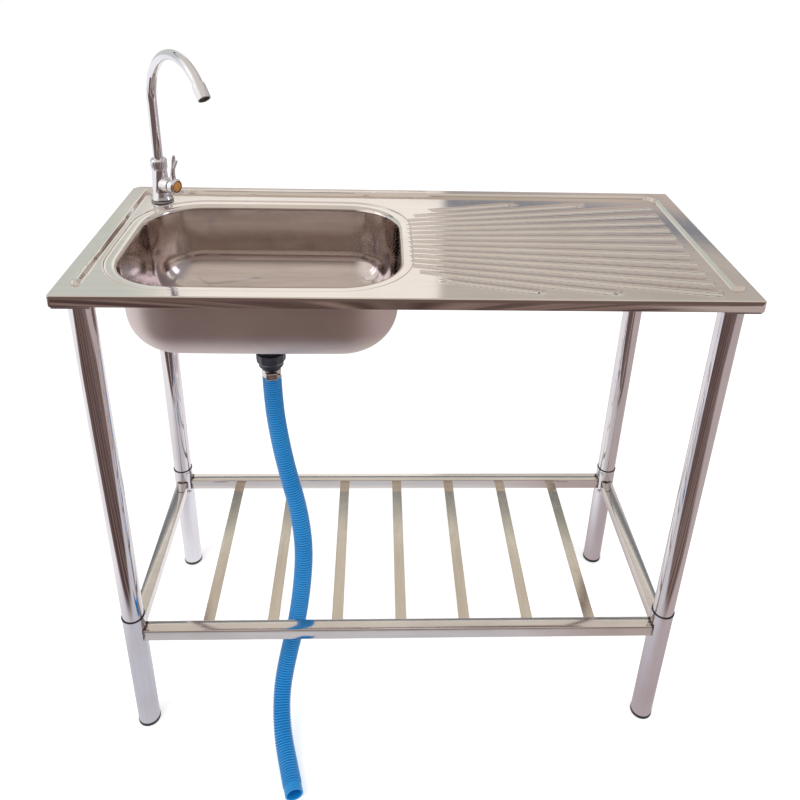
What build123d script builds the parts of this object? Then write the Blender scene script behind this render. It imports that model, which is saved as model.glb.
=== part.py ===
from build123d import *
import os
from math import cos, radians, sin, tan

# Free-standing kitchen sink unit: pressed steel top with one bowl and a ribbed drainer, a stand of
# round legs with a slatted shelf, a gooseneck pillar tap and a corrugated drain hose.
# Millimetres, +Z up, +Y to the back; the origin is on the floor under the middle of the top.

os.makedirs("parts", exist_ok=True)

# ------------------------------------------------------------------ driving sizes: clearances
sink_in = 0.5                    # how far a pressed form starts below the sheet that it rises from
slip_clearance = 0.1             # radial, tube in tube and plug in tube
turn_clearance = 0.06            # radial, parts that turn in each other
free_gap = 0.3                   # between parts that pass each other without touching
hole_clearance = 0.15            # radial, screw in its hole

# ------------------------------------------------------------------ driving sizes: pressed top
top_length = 1000.0
top_width = 440.0
counter_height = 900.0
apron_height = 18.0
sheet = 0.8
nose_radius = 2.0
corner_radius = 3.0
back_left_clip = 10.0
hem_width = 20.0

bead_inset = 27.0                # bead's middle line to the side and back edges
bead_width = 20.0
left_bead_width = 15.0
bead_height = 6.0
bead_side_run = 4.0              # how far its sloping sides lean in over its height
bead_front_setback = 33.0        # front edge to the bead's open ends
bead_back_right_radius = 40.0
bead_back_left_radius = 20.0

rib_count = 15
rib_step = 0.0355                # radians between neighbouring ribs of the fan
rib_focus_run = 503.0            # ribs' start back to the point where their lines meet
rib_focus_rise = 6.0             # that point behind the bowl's middle
rib_fan_tilt = -0.009            # direction of the middle rib, radians
rib_start_gap = 17.0             # bowl's right side to the ribs' start
rib_side_margin = 54.0           # top's edges to where ribs may end
rib_back_margin = 69.0
rib_front_margin = 23.0
rib_start_width = 10.0
rib_end_width = 21.0
rib_height = 1.8
rib_nose_length = 5.0
outer_rib_setback = 42.0         # extra start distance of the first and last rib

bowl_left_margin = 62.0          # top's edges to the bowl's opening
bowl_front_margin = 40.0
bowl_back_margin = 88.0
bowl_length = 424.0
bowl_corner_radius = 90.0
bowl_side_bulge = 3.0
bowl_depth = 145.0
bowl_draft = 2.3
bowl_floor_radius = 66.0
rim_step_width = 21.0
rim_step_depth = 1.8
rim_step_run = 2.2               # how far the step's slope runs in over its depth
rim_roll_radius = 8.0

# ------------------------------------------------------------------ driving sizes: stand
leg_inset_x = 35.8               # top's edges to the leg axes
leg_inset_y = 26.0
upper_leg_diameter = 36.0
leg_wall = 0.9
joint_height = 266.0             # top of the lower legs
leg_overlap = 86.0               # how far an upper leg reaches into the lower one
ring_thickness = 2.0
ring_lip = 1.2                   # how far ring and foot stand out from the lower tube
foot_lip = 0.6
foot_height = 8.0
foot_plug_length = 22.0
foot_flutes = 8
foot_flute_radius = 1.2
plate_thickness = 2.5
plate_size = 58.0
plate_corner_radius = 5.0
stub_length = 40.0
stub_wall = 1.5
plate_screw_inset = 10.0         # apron's inner face to a plate screw
plate_screw_margin = 6.0         # plate's inner edge to a plate screw
screw_shank_radius = 2.0
screw_head_radius = 4.0
screw_head_height = 2.4
plate_screw_length = 7.0
leg_screw_length = 6.0
upper_screw_drop = 8.0           # joint height down to the upper leg screw
lower_screw_gap = 6.0            # shelf rail's underside down to the lower leg screw

rail_size = 23.0
rail_wall = 1.0
rail_drop = 27.0                 # joint height down to the rails' top
rail_edge_radius = 1.5
slat_count = 7
slat_end_gap = 121.6             # leg axis to the middle of the first slat
slat_width = 20.0
slat_thickness = 2.0
slat_drop = 16.0                 # rail top down to slat top
slat_edge_radius = 0.6

# ------------------------------------------------------------------ driving sizes: tap
tap_side_margin = 68.0           # top's edges to the tap's axis
tap_back_margin = 68.0
tap_thread_radius = 10.4
tap_root_radius = 10.1           # thread's root, to which the tail is drawn inside the locknut
tap_tail_length = 52.0
tap_waterway_radius = 5.5
tap_flange_radius = 19.5
tap_gasket_thickness = 1.0
tap_waist_radius = 15.6
tap_waist_height = 16.5
tap_neck_radius = 12.6
tap_body_height = 58.0           # counter to the collar nut
tap_washer_radius = 16.0
tap_washer_thickness = 2.0
tap_locknut_across = 30.0
tap_locknut_height = 7.0
barrel_height = 31.6             # counter to the barrel's axis
barrel_azimuth = -31.0
barrel_radius = 13.5
barrel_reach = 25.0
cartridge_radius = 9.5
cartridge_start = -1.0
spindle_radius = 3.5
spindle_seat_depth = 12.0
hub_radius = 13.0
hub_length = 14.0
hub_edge = 1.2
hub_dish_radius = 10.6
hub_dish_depth = 3.0
cap_thickness = 2.0
lever_height = 58.0              # barrel axis to the lever's tip
lever_thickness = 6.5
lever_screw_radius = 1.8
lever_screw_head_radius = 3.4
lever_screw_length = 9.0
collar_height = 19.0
collar_radius = 14.5
collar_lip = 3.0
collar_flutes = 12
collar_flute_radius = 1.2
socket_depth = 20.0
spout_radius = 8.5
spout_wall = 1.2
spout_collar_thickness = 3.0
spout_rise = 175.0               # counter to the start of the arc
spout_bend_radius = 92.0
spout_sweep = 140.0
spout_azimuth = -49.0
seal_ring_radius = 1.3
aerator_radius = 10.5
aerator_length = 25.0
aerator_overlap = 8.0            # straight end of the spout inside the aerator
aerator_insert_thickness = 4.0
aerator_wall = 1.5

# ------------------------------------------------------------------ driving sizes: drain
drain_offset_x = -2.0            # bowl's middle to the drain's axis
drain_offset_y = -8.0
drain_dish_radius = 60.0
drain_dish_fall = 5.0
drain_recess_radius = 40.0
drain_recess_depth = 4.0
drain_hole_radius = 24.0
strainer_gap = 2.0               # recess's wall to the strainer's rim
strainer_thickness = 1.2
strainer_cup_depth = 6.0
strainer_hole_radius = 2.5
strainer_boss_radius = 5.0
drain_gasket_thickness = 2.5
drain_body_flange = 36.0
drain_body_radius = 30.0
drain_body_wall = 2.2
drain_thread_radius = 21.0
drain_thread_length = 18.0
drain_nut_rim_radius = 25.2
drain_nut_foot_radius = 21.0
drain_nut_drop = 46.0            # recess floor down to the nut's top
drain_nut_height = 32.0
drain_nut_rim_height = 22.0
drain_nut_flutes = 12
drain_nut_flute_radius = 1.4
drain_screw_radius = 3.0
drain_screw_head_radius = 5.5
tail_wall = 1.8
tail_spigot_length = 30.0
hose_bore_radius = 12.6
hose_valley_wall = 2.0
hose_crest_wall = 3.9
hose_cuff_wall = 2.8
hose_cuff_length = 33.0
hose_ribs = 72
hose_crest_share = 0.45
clamp_width = 12.0
clamp_thickness = 1.0
clamp_drop = 2.0                 # nut's bottom down to the clamp's top edge
clamp_box_length = 13.0
clamp_box_height = 8.0
clamp_screw_radius = 2.2
clamp_screw_head = 4.5

# ------------------------------------------------------------------ places worked out from them
apron_bottom = counter_height - apron_height
bowl_width = top_width - bowl_front_margin - bowl_back_margin
bowl_x = bowl_left_margin + (bowl_length - top_length) / 2
bowl_y = (bowl_front_margin - bowl_back_margin) / 2
rib_start_x = bowl_x + bowl_length / 2 + rib_start_gap
rib_end_x = top_length / 2 - rib_side_margin
rib_focus_x = rib_start_x - rib_focus_run
rib_focus_y = bowl_y + rib_focus_rise
neck_bottom = counter_height - rim_step_depth - rim_roll_radius
bowl_floor = counter_height - bowl_depth
recess_floor = bowl_floor - drain_dish_fall - drain_recess_depth
drain_x = bowl_x + drain_offset_x
drain_y = bowl_y + drain_offset_y
leg_spread_x = top_length / 2 - leg_inset_x
leg_spread_y = top_width / 2 - leg_inset_y
upper_leg_radius = upper_leg_diameter / 2
upper_leg_bore = upper_leg_radius - leg_wall
lower_leg_bore = upper_leg_radius + slip_clearance
lower_leg_radius = lower_leg_bore + leg_wall
plate_bottom = apron_bottom - plate_thickness
rail_top = joint_height - rail_drop
tap_x = tap_side_margin - top_length / 2
tap_y = top_width / 2 - tap_back_margin
corners = {
    "front_left": (-1, -1),
    "front_right": (1, -1),
    "back_left": (-1, 1),
    "back_right": (1, 1),
}


def finish(builder, label):
    """Name a finished piece and write it."""
    builder.part.label = label
    export_step(builder.part, f"parts/{label}.step")


def axis_plane(x, y, z=0.0):
    """Upright plane through a vertical axis: its X is the radius and its Y is the height."""
    return Plane(origin=(x, y, z), x_dir=(1, 0, 0), z_dir=(0, -1, 0))


# ------------------------------------------------------------------ pressed top
def rib_line(index):
    """Start and end of one drainer rib, on a line through the fan's focus."""
    middle = (rib_count - 1) / 2
    slope = tan(rib_fan_tilt + (middle - index) * rib_step)
    outermost = max(0.0, abs(index - middle) - middle + 2) / 2
    start_x = rib_start_x + outer_rib_setback * outermost ** 2
    edge_y = top_width / 2 - rib_back_margin if slope > 0 else rib_front_margin - top_width / 2
    end_x = min(rib_end_x, rib_focus_x + (edge_y - rib_focus_y) / slope)
    start = (start_x, rib_focus_y + (start_x - rib_focus_x) * slope)
    end = (end_x, rib_focus_y + (end_x - rib_focus_x) * slope)
    return start, end


def rib_section(at, direction, width, height, base_z):
    """Plane and arc points of a rib's rounded section across its line."""
    plane = Plane(
        origin=(at[0], at[1], base_z),
        x_dir=(direction[1], -direction[0], 0),
        z_dir=(direction[0], direction[1], 0),
    )
    return plane, (-width / 2, -sink_in), (0, height), (width / 2, -sink_in)


def bowl_outline(grow, level):
    """The bowl's opening grown by a margin: bowed sides with rounded corners."""
    half_x = bowl_length / 2 + grow
    half_y = bowl_width / 2 + grow
    end_x = bowl_x + half_x
    start_x = bowl_x - half_x
    back_y = bowl_y + half_y
    front_y = bowl_y - half_y
    bulge = bowl_side_bulge
    with BuildSketch(Plane.XY.offset(level)) as opening:
        with BuildLine():
            ThreePointArc(
                (start_x + bulge, front_y + bulge), (bowl_x, front_y), (end_x - bulge, front_y + bulge))
            ThreePointArc(
                (end_x - bulge, front_y + bulge), (end_x, bowl_y), (end_x - bulge, back_y - bulge))
            ThreePointArc(
                (end_x - bulge, back_y - bulge), (bowl_x, back_y), (start_x + bulge, back_y - bulge))
            ThreePointArc(
                (start_x + bulge, back_y - bulge), (start_x, bowl_y), (start_x + bulge, front_y + bulge))
        make_face()
        fillet(opening.vertices(), bowl_corner_radius + grow)
    return opening.sketch


def bead_outline(skin, level):
    """Raised border open to the front: along the left side, the back and the right side."""
    half_x = top_length / 2 - bead_inset
    back_y = top_width / 2 - bead_inset
    front_y = -top_width / 2 + bead_front_setback + skin
    wide = bead_width / 2 - skin
    narrow = left_bead_width / 2 - skin
    with BuildSketch(Plane.XY.offset(level)) as border:
        with BuildLine():
            Polyline(
                (-half_x - narrow, front_y),
                (-half_x - narrow, back_y + wide),
                (half_x + wide, back_y + wide),
                (half_x + wide, front_y),
                (half_x - wide, front_y),
                (half_x - wide, back_y - wide),
                (-half_x + narrow, back_y - wide),
                (-half_x + narrow, front_y),
                close=True,
            )
        make_face()
        back_corners = border.vertices().group_by(Axis.Y)[-1].sort_by(Axis.X)
        fillet(back_corners[-1], bead_back_right_radius - skin)
        fillet(back_corners[0], bead_back_left_radius - skin)
        inner_corners = border.vertices().filter_by(
            lambda v: abs(v.Y - back_y + wide) < sink_in and abs(v.X) < half_x).sort_by(Axis.X)
        fillet(inner_corners[-1], bead_back_right_radius - bead_width + skin)
        fillet(inner_corners[0], bead_back_left_radius - left_bead_width + skin)
        left_end = border.vertices().group_by(Axis.Y)[0].sort_by(Axis.X)[:2]
        fillet(left_end, narrow * 0.8)
    return border.sketch


def pressed_form(skin):
    """The top as a filled block: its outer face, or its inner face one sheet further in."""
    level = counter_height - skin
    with BuildPart() as form:
        with BuildSketch(Plane.XY.offset(apron_bottom)) as plan:
            Rectangle(top_length - 2 * skin, top_width - 2 * skin)
            by_diagonal = plan.vertices().sort_by(lambda v: v.X - v.Y)
            fillet(by_diagonal[1:], corner_radius - skin)
            chamfer(by_diagonal[0], back_left_clip - skin / 2)
        extrude(amount=apron_height - skin)
        fillet(form.edges().group_by(Axis.Z)[-1], nose_radius - skin)
        foot = bead_outline(skin - sink_in * bead_side_run / bead_height, level - sink_in)
        crown = bead_outline(skin + bead_side_run, level + bead_height)
        loft([foot, crown], ruled=True)
        for index in range(rib_count):
            start, end = rib_line(index)
            run = Vector(*end) - Vector(*start)
            direction = run.normalized()
            full = Vector(*start) + direction * rib_nose_length
            share = (end[0] - rib_start_x) / (rib_end_x - rib_start_x)
            end_width = rib_start_width + (rib_end_width - rib_start_width) * share
            stations = (
                (start, rib_start_width * 0.6, rib_height * 0.25),
                ((full.X, full.Y), rib_start_width, rib_height),
                (end, end_width, rib_height),
            )
            for at, width, height in stations:
                plane, low, top, high = rib_section(
                    at, (direction.X, direction.Y), width - 2 * skin, height, level)
                with BuildSketch(plane):
                    with BuildLine():
                        ThreePointArc(low, top, high)
                        Line(high, low)
                    make_face()
            loft(ruled=True)
        step_lip = bowl_outline(rim_step_width, level + rim_step_depth)
        step_floor = bowl_outline(rim_step_width - 2 * rim_step_run, level - rim_step_depth)
        loft([step_lip, step_floor], ruled=True, mode=Mode.SUBTRACT)
        extrude(
            bowl_outline(skin, level - rim_step_depth),
            amount=-apron_height,
            mode=Mode.SUBTRACT,
        )
        rolled = form.edges(Select.LAST).group_by(Axis.Z)[-1]
        fillet(rolled, rim_roll_radius - skin)
    return form.part


def make_deck():
    """Pressed sheet: outer face less inner face, with the hem turned in and the bowl's neck."""
    outer = pressed_form(0.0)
    inner = pressed_form(sheet)
    with BuildPart() as deck:
        add(outer)
        add(inner, mode=Mode.SUBTRACT)
        with BuildSketch(Plane.XY.offset(apron_bottom)):
            Rectangle(top_length - sheet, top_width - sheet)
            Rectangle(
                top_length - 2 * (sheet + hem_width),
                top_width - 2 * (sheet + hem_width),
                mode=Mode.SUBTRACT,
            )
        extrude(amount=sheet)
        extrude(
            bowl_outline(2 * sheet, apron_bottom - sheet),
            amount=neck_bottom - apron_bottom + sheet,
            mode=Mode.SUBTRACT,
        )
        with BuildSketch(Plane.XY.offset(apron_bottom)):
            with Locations((-top_length / 2, top_width / 2)):
                Rectangle(2 * back_left_clip, 2 * back_left_clip, rotation=45)
        extrude(amount=sheet, mode=Mode.SUBTRACT)
        with BuildSketch(Plane.XY.offset(apron_bottom)):
            with Locations((tap_x, tap_y)):
                Circle(tap_thread_radius + free_gap)
        extrude(amount=apron_height, mode=Mode.SUBTRACT)
        with BuildSketch(Plane.XY.offset(apron_bottom)):
            with Locations(*plate_screw_places()):
                Circle(screw_shank_radius + hole_clearance)
        extrude(amount=sheet, mode=Mode.SUBTRACT)
    finish(deck, "sink_deck")


def bowl_form(grow):
    """The bowl as a filled body: drafted walls, a wide floor radius and a fall to the drain."""
    with BuildPart() as form:
        mouth = bowl_outline(grow, neck_bottom)
        draft_run = (neck_bottom - bowl_floor) * tan(radians(bowl_draft))
        floor = bowl_outline(grow - draft_run, bowl_floor - grow)
        loft([mouth, floor], ruled=True)
        fillet(form.edges().group_by(Axis.Z)[0], bowl_floor_radius)
        with BuildSketch(axis_plane(drain_x, drain_y)):
            with BuildLine():
                Polyline(
                    (0, bowl_floor - grow + sink_in),
                    (drain_dish_radius, bowl_floor - grow + sink_in),
                    (drain_dish_radius, bowl_floor - grow),
                    (drain_recess_radius + grow, bowl_floor - drain_dish_fall - grow),
                    (drain_recess_radius + grow, recess_floor - grow),
                    (0, recess_floor - grow),
                    close=True,
                )
            make_face()
        revolve(axis=Axis((drain_x, drain_y, 0), (0, 0, 1)))
    return form.part


def make_bowl():
    """Pressed bowl under the top's neck, with the drain's recess and hole."""
    outer = bowl_form(sheet)
    inner = bowl_form(0.0)
    with BuildPart() as bowl:
        add(outer)
        add(inner, mode=Mode.SUBTRACT)
        with BuildSketch(Plane.XY.offset(recess_floor + sheet)):
            with Locations((drain_x, drain_y)):
                Circle(drain_hole_radius)
        extrude(amount=-3 * sheet, mode=Mode.SUBTRACT)
    finish(bowl, "sink_bowl")


# ------------------------------------------------------------------ stand
def plate_corner(side_x, side_y):
    """Inner corner of the apron that a corner plate fills."""
    return side_x * (top_length / 2 - sheet), side_y * (top_width / 2 - sheet)


def plate_screw_places(only=None):
    """Both screws of each corner plate, or of one plate."""
    far = plate_size - plate_screw_margin
    places = []
    for side_x, side_y in ([only] if only else corners.values()):
        x, y = plate_corner(side_x, side_y)
        places.append((x - side_x * plate_screw_inset, y - side_y * far))
        places.append((x - side_x * far, y - side_y * plate_screw_inset))
    return places


def make_corner_plate(name, side_x, side_y):
    """Plate under the hem with a stub tube that the leg slips over."""
    x, y = plate_corner(side_x, side_y)
    leg = (side_x * leg_spread_x, side_y * leg_spread_y)
    stub_radius = upper_leg_bore - slip_clearance
    with BuildPart() as plate:
        with BuildSketch(Plane.XY.offset(plate_bottom)) as plan:
            with Locations((x - side_x * plate_size / 2, y - side_y * plate_size / 2)):
                Rectangle(plate_size, plate_size)
            fillet(plan.vertices(), plate_corner_radius)
            with Locations(*plate_screw_places((side_x, side_y))):
                Circle(screw_shank_radius + hole_clearance, mode=Mode.SUBTRACT)
        extrude(amount=plate_thickness)
        with BuildSketch(Plane.XY.offset(plate_bottom)):
            with Locations(leg):
                Circle(stub_radius)
                Circle(stub_radius - stub_wall, mode=Mode.SUBTRACT)
        extrude(amount=-stub_length)
    finish(plate, f"corner_plate_{name}")


def pan_screw(seat, length):
    """Screw with a coned head; its shank runs along the seat's normal."""
    with BuildPart() as screw:
        with BuildSketch(seat):
            Circle(screw_shank_radius)
        extrude(amount=length)
        with BuildSketch(seat):
            Circle(screw_head_radius)
        extrude(amount=-screw_head_height, taper=25)
    return screw.part


def make_screws(seats, length, label):
    """All screws of one kind as separate solids in one node."""
    pieces = [pan_screw(seat, length) for seat in seats]
    with BuildPart() as screws:
        add(pieces)
    finish(screws, label)


def plate_screw_seats():
    """Planes under the corner plates, facing up."""
    return [Plane(origin=(x, y, plate_bottom), z_dir=(0, 0, 1)) for x, y in plate_screw_places()]


def leg_screw_seats(only=None):
    """Planes on the inner diagonal of each leg, or of one leg, facing the leg's axis."""
    seats = []
    for side_x, side_y in ([only] if only else corners.values()):
        inward = Vector(-side_x, -side_y, 0).normalized()
        for drop in (upper_screw_drop, rail_drop + rail_size + lower_screw_gap):
            axis_point = Vector(side_x * leg_spread_x, side_y * leg_spread_y, joint_height - drop)
            origin = axis_point + inward * (lower_leg_radius + slip_clearance)
            seats.append(Plane(origin=origin, z_dir=-inward))
    return seats


def make_leg(name, side_x, side_y):
    """Upper tube, joint ring, lower tube and foot cap of one leg."""
    x = side_x * leg_spread_x
    y = side_y * leg_spread_y
    with BuildPart() as upper:
        with BuildSketch(Plane.XY.offset(joint_height - leg_overlap)):
            with Locations((x, y)):
                Circle(upper_leg_radius)
                Circle(upper_leg_bore, mode=Mode.SUBTRACT)
        extrude(amount=plate_bottom - joint_height + leg_overlap)
        with BuildSketch(*leg_screw_seats((side_x, side_y))):
            Circle(screw_shank_radius + hole_clearance)
        extrude(amount=leg_screw_length, mode=Mode.SUBTRACT)
    finish(upper, f"upper_leg_{name}")

    with BuildPart() as ring:
        with BuildSketch(Plane.XY.offset(joint_height)):
            with Locations((x, y)):
                Circle(lower_leg_radius + ring_lip)
                Circle(upper_leg_radius + slip_clearance, mode=Mode.SUBTRACT)
        extrude(amount=ring_thickness)
        fillet(ring.edges().group_by(Axis.Z)[-1].sort_by(SortBy.LENGTH)[-1], ring_thickness / 3)
    finish(ring, f"leg_ring_{name}")

    with BuildPart() as lower:
        with BuildSketch(Plane.XY.offset(foot_height)):
            with Locations((x, y)):
                Circle(lower_leg_radius)
                Circle(lower_leg_bore, mode=Mode.SUBTRACT)
        extrude(amount=joint_height - foot_height)
        with BuildSketch(*leg_screw_seats((side_x, side_y))):
            Circle(screw_shank_radius + hole_clearance)
        extrude(amount=leg_screw_length, mode=Mode.SUBTRACT)
    finish(lower, f"lower_leg_{name}")

    plug_radius = lower_leg_bore - slip_clearance
    foot_radius = lower_leg_radius + foot_lip
    with BuildPart() as foot:
        with BuildSketch():
            with Locations((x, y)):
                Circle(foot_radius)
                with PolarLocations(foot_radius, foot_flutes):
                    Circle(foot_flute_radius, mode=Mode.SUBTRACT)
        extrude(amount=foot_height)
        with BuildSketch(Plane.XY.offset(foot_height)):
            with Locations((x, y)):
                Circle(plug_radius)
        extrude(amount=foot_plug_length)
        with BuildSketch(Plane.XY.offset(foot_height + foot_plug_length)):
            with Locations((x, y)):
                Circle(plug_radius - 2 * leg_wall)
        extrude(amount=-foot_plug_length, mode=Mode.SUBTRACT)
    finish(foot, f"foot_{name}")


def make_rail(name, along_x, side):
    """Square tube between two legs, coped to them at both ends."""
    if along_x:
        middle = (0, side * leg_spread_y)
        length = 2 * leg_spread_x
        plane = Plane(origin=(-leg_spread_x, middle[1], rail_top - rail_size / 2), z_dir=(1, 0, 0))
    else:
        middle = (side * leg_spread_x, 0)
        length = 2 * leg_spread_y
        plane = Plane(origin=(middle[0], -leg_spread_y, rail_top - rail_size / 2), z_dir=(0, 1, 0))
    bore = rail_size - 2 * rail_wall
    with BuildPart() as rail:
        with BuildSketch(plane):
            RectangleRounded(rail_size, rail_size, rail_edge_radius)
            Rectangle(bore, bore, mode=Mode.SUBTRACT)
        extrude(amount=length)
        with BuildSketch(Plane.XY.offset(rail_top - rail_size)):
            with Locations(*[(sx * leg_spread_x, sy * leg_spread_y) for sx, sy in corners.values()]):
                Circle(lower_leg_radius)
        extrude(amount=rail_size, mode=Mode.SUBTRACT)
    finish(rail, name)


def make_slat(index):
    """Flat strip across the shelf, between the front and back rails."""
    first_x = slat_end_gap - leg_spread_x
    x = first_x - 2 * first_x * (index - 1) / (slat_count - 1)
    with BuildPart() as slat:
        with BuildSketch(Plane.XY.offset(rail_top - slat_drop - slat_thickness)):
            with Locations((x, 0)):
                Rectangle(slat_width, 2 * leg_spread_y - rail_size)
        extrude(amount=slat_thickness)
        fillet(slat.edges().filter_by(Axis.Y), slat_edge_radius)
    finish(slat, f"slat_{index}")


# ------------------------------------------------------------------ tap
tap_foot = counter_height + tap_gasket_thickness
washer_top = counter_height - sheet
locknut_top = washer_top - tap_washer_thickness
locknut_bottom = locknut_top - tap_locknut_height
collar_bottom = counter_height + tap_body_height
collar_top = collar_bottom + collar_height
body_top = collar_top - collar_lip - spout_collar_thickness - 2 * free_gap
body_thread_radius = tap_neck_radius - 1.4
socket_radius = spout_radius + turn_clearance
tap_axis = Axis((tap_x, tap_y, 0), (0, 0, 1))
barrel_direction = Vector(cos(radians(barrel_azimuth)), sin(radians(barrel_azimuth)), 0)
barrel_centre = Vector(tap_x, tap_y, counter_height + barrel_height)
spout_direction = Vector(cos(radians(spout_azimuth)), sin(radians(spout_azimuth)), 0)


def barrel_plane(reach):
    """Plane across the barrel at a distance from the tap's axis; its Y is up."""
    return Plane(
        origin=barrel_centre + barrel_direction * reach,
        x_dir=barrel_direction.cross(Vector(0, 0, -1)),
        z_dir=barrel_direction,
    )


def make_tap_body():
    """Belled column with a threaded tail below, a side barrel and a socket for the spout."""
    tail_bottom = counter_height - tap_tail_length
    with BuildPart() as body:
        with BuildSketch(axis_plane(tap_x, tap_y)):
            with BuildLine():
                Polyline(
                    (0, tail_bottom),
                    (tap_thread_radius - 1, tail_bottom),
                    (tap_thread_radius, tail_bottom + 1),
                    (tap_thread_radius, locknut_bottom),
                    (tap_root_radius, locknut_bottom),
                    (tap_root_radius, tap_foot),
                    (tap_flange_radius, tap_foot),
                    (tap_flange_radius, tap_foot + 3),
                )
                ThreePointArc(
                    (tap_flange_radius, tap_foot + 3),
                    (tap_waist_radius + 1.6, counter_height + tap_waist_height * 0.55),
                    (tap_waist_radius, counter_height + tap_waist_height),
                )
                Polyline(
                    (tap_waist_radius, counter_height + tap_waist_height),
                    (tap_neck_radius, collar_bottom),
                    (body_thread_radius, collar_bottom),
                    (body_thread_radius, body_top),
                    (0, body_top),
                    (0, tail_bottom),
                )
            make_face()
        revolve(axis=tap_axis)
        with BuildSketch(barrel_plane(0)):
            Circle(barrel_radius)
        extrude(amount=barrel_reach)
        with BuildSketch(barrel_plane(cartridge_start)):
            Circle(cartridge_radius + slip_clearance)
        extrude(amount=barrel_reach - cartridge_start, mode=Mode.SUBTRACT)
        with BuildSketch(Plane.XY.offset(tail_bottom)):
            with Locations((tap_x, tap_y)):
                Circle(tap_waterway_radius)
        extrude(amount=body_top - tail_bottom, mode=Mode.SUBTRACT)
        with BuildSketch(Plane.XY.offset(body_top)):
            with Locations((tap_x, tap_y)):
                Circle(socket_radius)
        extrude(amount=-socket_depth, mode=Mode.SUBTRACT)
    finish(body, "tap_body")


def make_tap_fixings():
    """Gasket above the sheet, washer and hexagon locknut below it."""
    rings = (
        ("tap_gasket", counter_height, tap_gasket_thickness, tap_flange_radius - free_gap),
        ("tap_washer", washer_top, -tap_washer_thickness, tap_washer_radius),
    )
    for label, level, thickness, radius in rings:
        with BuildPart() as ring:
            with BuildSketch(Plane.XY.offset(level)):
                with Locations((tap_x, tap_y)):
                    Circle(radius)
                    Circle(tap_thread_radius + slip_clearance, mode=Mode.SUBTRACT)
            extrude(amount=thickness)
        finish(ring, label)
    with BuildPart() as nut:
        with BuildSketch(Plane.XY.offset(locknut_top)):
            with Locations((tap_x, tap_y)):
                RegularPolygon(tap_locknut_across / 2, 6, major_radius=False)
                Circle(tap_root_radius + slip_clearance, mode=Mode.SUBTRACT)
        extrude(amount=-tap_locknut_height)
        chamfer(nut.edges().group_by(Axis.Z)[0].sort_by(SortBy.LENGTH)[:6], 1)
    finish(nut, "tap_locknut")


def make_collar_nut():
    """Fluted nut that holds the spout's collar down on the body."""
    with BuildPart() as nut:
        with BuildSketch(axis_plane(tap_x, tap_y)):
            with BuildLine():
                Polyline(
                    (body_thread_radius + slip_clearance, collar_bottom),
                    (collar_radius - 1, collar_bottom),
                    (collar_radius, collar_bottom + 1),
                    (collar_radius, collar_top - 2),
                    (collar_radius - 2, collar_top),
                    (spout_radius + free_gap, collar_top),
                    (spout_radius + free_gap, collar_top - collar_lip),
                    (body_thread_radius + slip_clearance, collar_top - collar_lip),
                    close=True,
                )
            make_face()
        revolve(axis=tap_axis)
        with BuildSketch(Plane.XY.offset(collar_bottom + 3)):
            with Locations((tap_x, tap_y)):
                with PolarLocations(collar_radius, collar_flutes):
                    Circle(collar_flute_radius)
        extrude(amount=collar_height - 7, mode=Mode.SUBTRACT)
    finish(nut, "collar_nut")


def spout_path():
    """Straight rise out of the socket, then the gooseneck's arc."""
    foot = Vector(tap_x, tap_y, body_top - socket_depth + 2)
    arc_start = Vector(tap_x, tap_y, counter_height + spout_rise)
    half = radians(spout_sweep / 2)
    full = radians(spout_sweep)

    def on_arc(angle):
        out = spout_bend_radius * (1 - cos(angle))
        return arc_start + spout_direction * out + Vector(0, 0, spout_bend_radius * sin(angle))

    with BuildLine() as path:
        Line(foot, arc_start)
        arc = ThreePointArc(arc_start, on_arc(half), on_arc(full))
        Line(arc @ 1, arc @ 1 + (arc % 1) * (aerator_overlap + 1))
    return path.wire()


def make_spout():
    """Bent tube with the collar that the nut holds and a groove for its seal."""
    path = spout_path()
    foot_plane = Plane(origin=path @ 0, z_dir=(0, 0, 1))
    seal_z = body_top - socket_depth / 2
    groove = spout_radius - seal_ring_radius / 2
    with BuildPart() as spout:
        with BuildSketch(foot_plane):
            Circle(spout_radius)
            Circle(spout_radius - spout_wall, mode=Mode.SUBTRACT)
        sweep(path=path)
        with BuildSketch(Plane.XY.offset(body_top + free_gap)):
            with Locations((tap_x, tap_y)):
                Circle(body_thread_radius - free_gap)
                Circle(spout_radius - sink_in, mode=Mode.SUBTRACT)
        extrude(amount=spout_collar_thickness)
        with BuildSketch(Plane.XY.offset(seal_z - seal_ring_radius)):
            with Locations((tap_x, tap_y)):
                Circle(spout_radius + 1)
                Circle(groove, mode=Mode.SUBTRACT)
        extrude(amount=2 * seal_ring_radius, mode=Mode.SUBTRACT)
    finish(spout, "spout")
    with BuildPart() as seal:
        with BuildSketch(Plane.XY.offset(seal_z - seal_ring_radius)):
            with Locations((tap_x, tap_y)):
                Circle(spout_radius + turn_clearance / 2)
                Circle(groove, mode=Mode.SUBTRACT)
        extrude(amount=2 * seal_ring_radius)
    finish(seal, "spout_seal")
    return path


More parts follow.
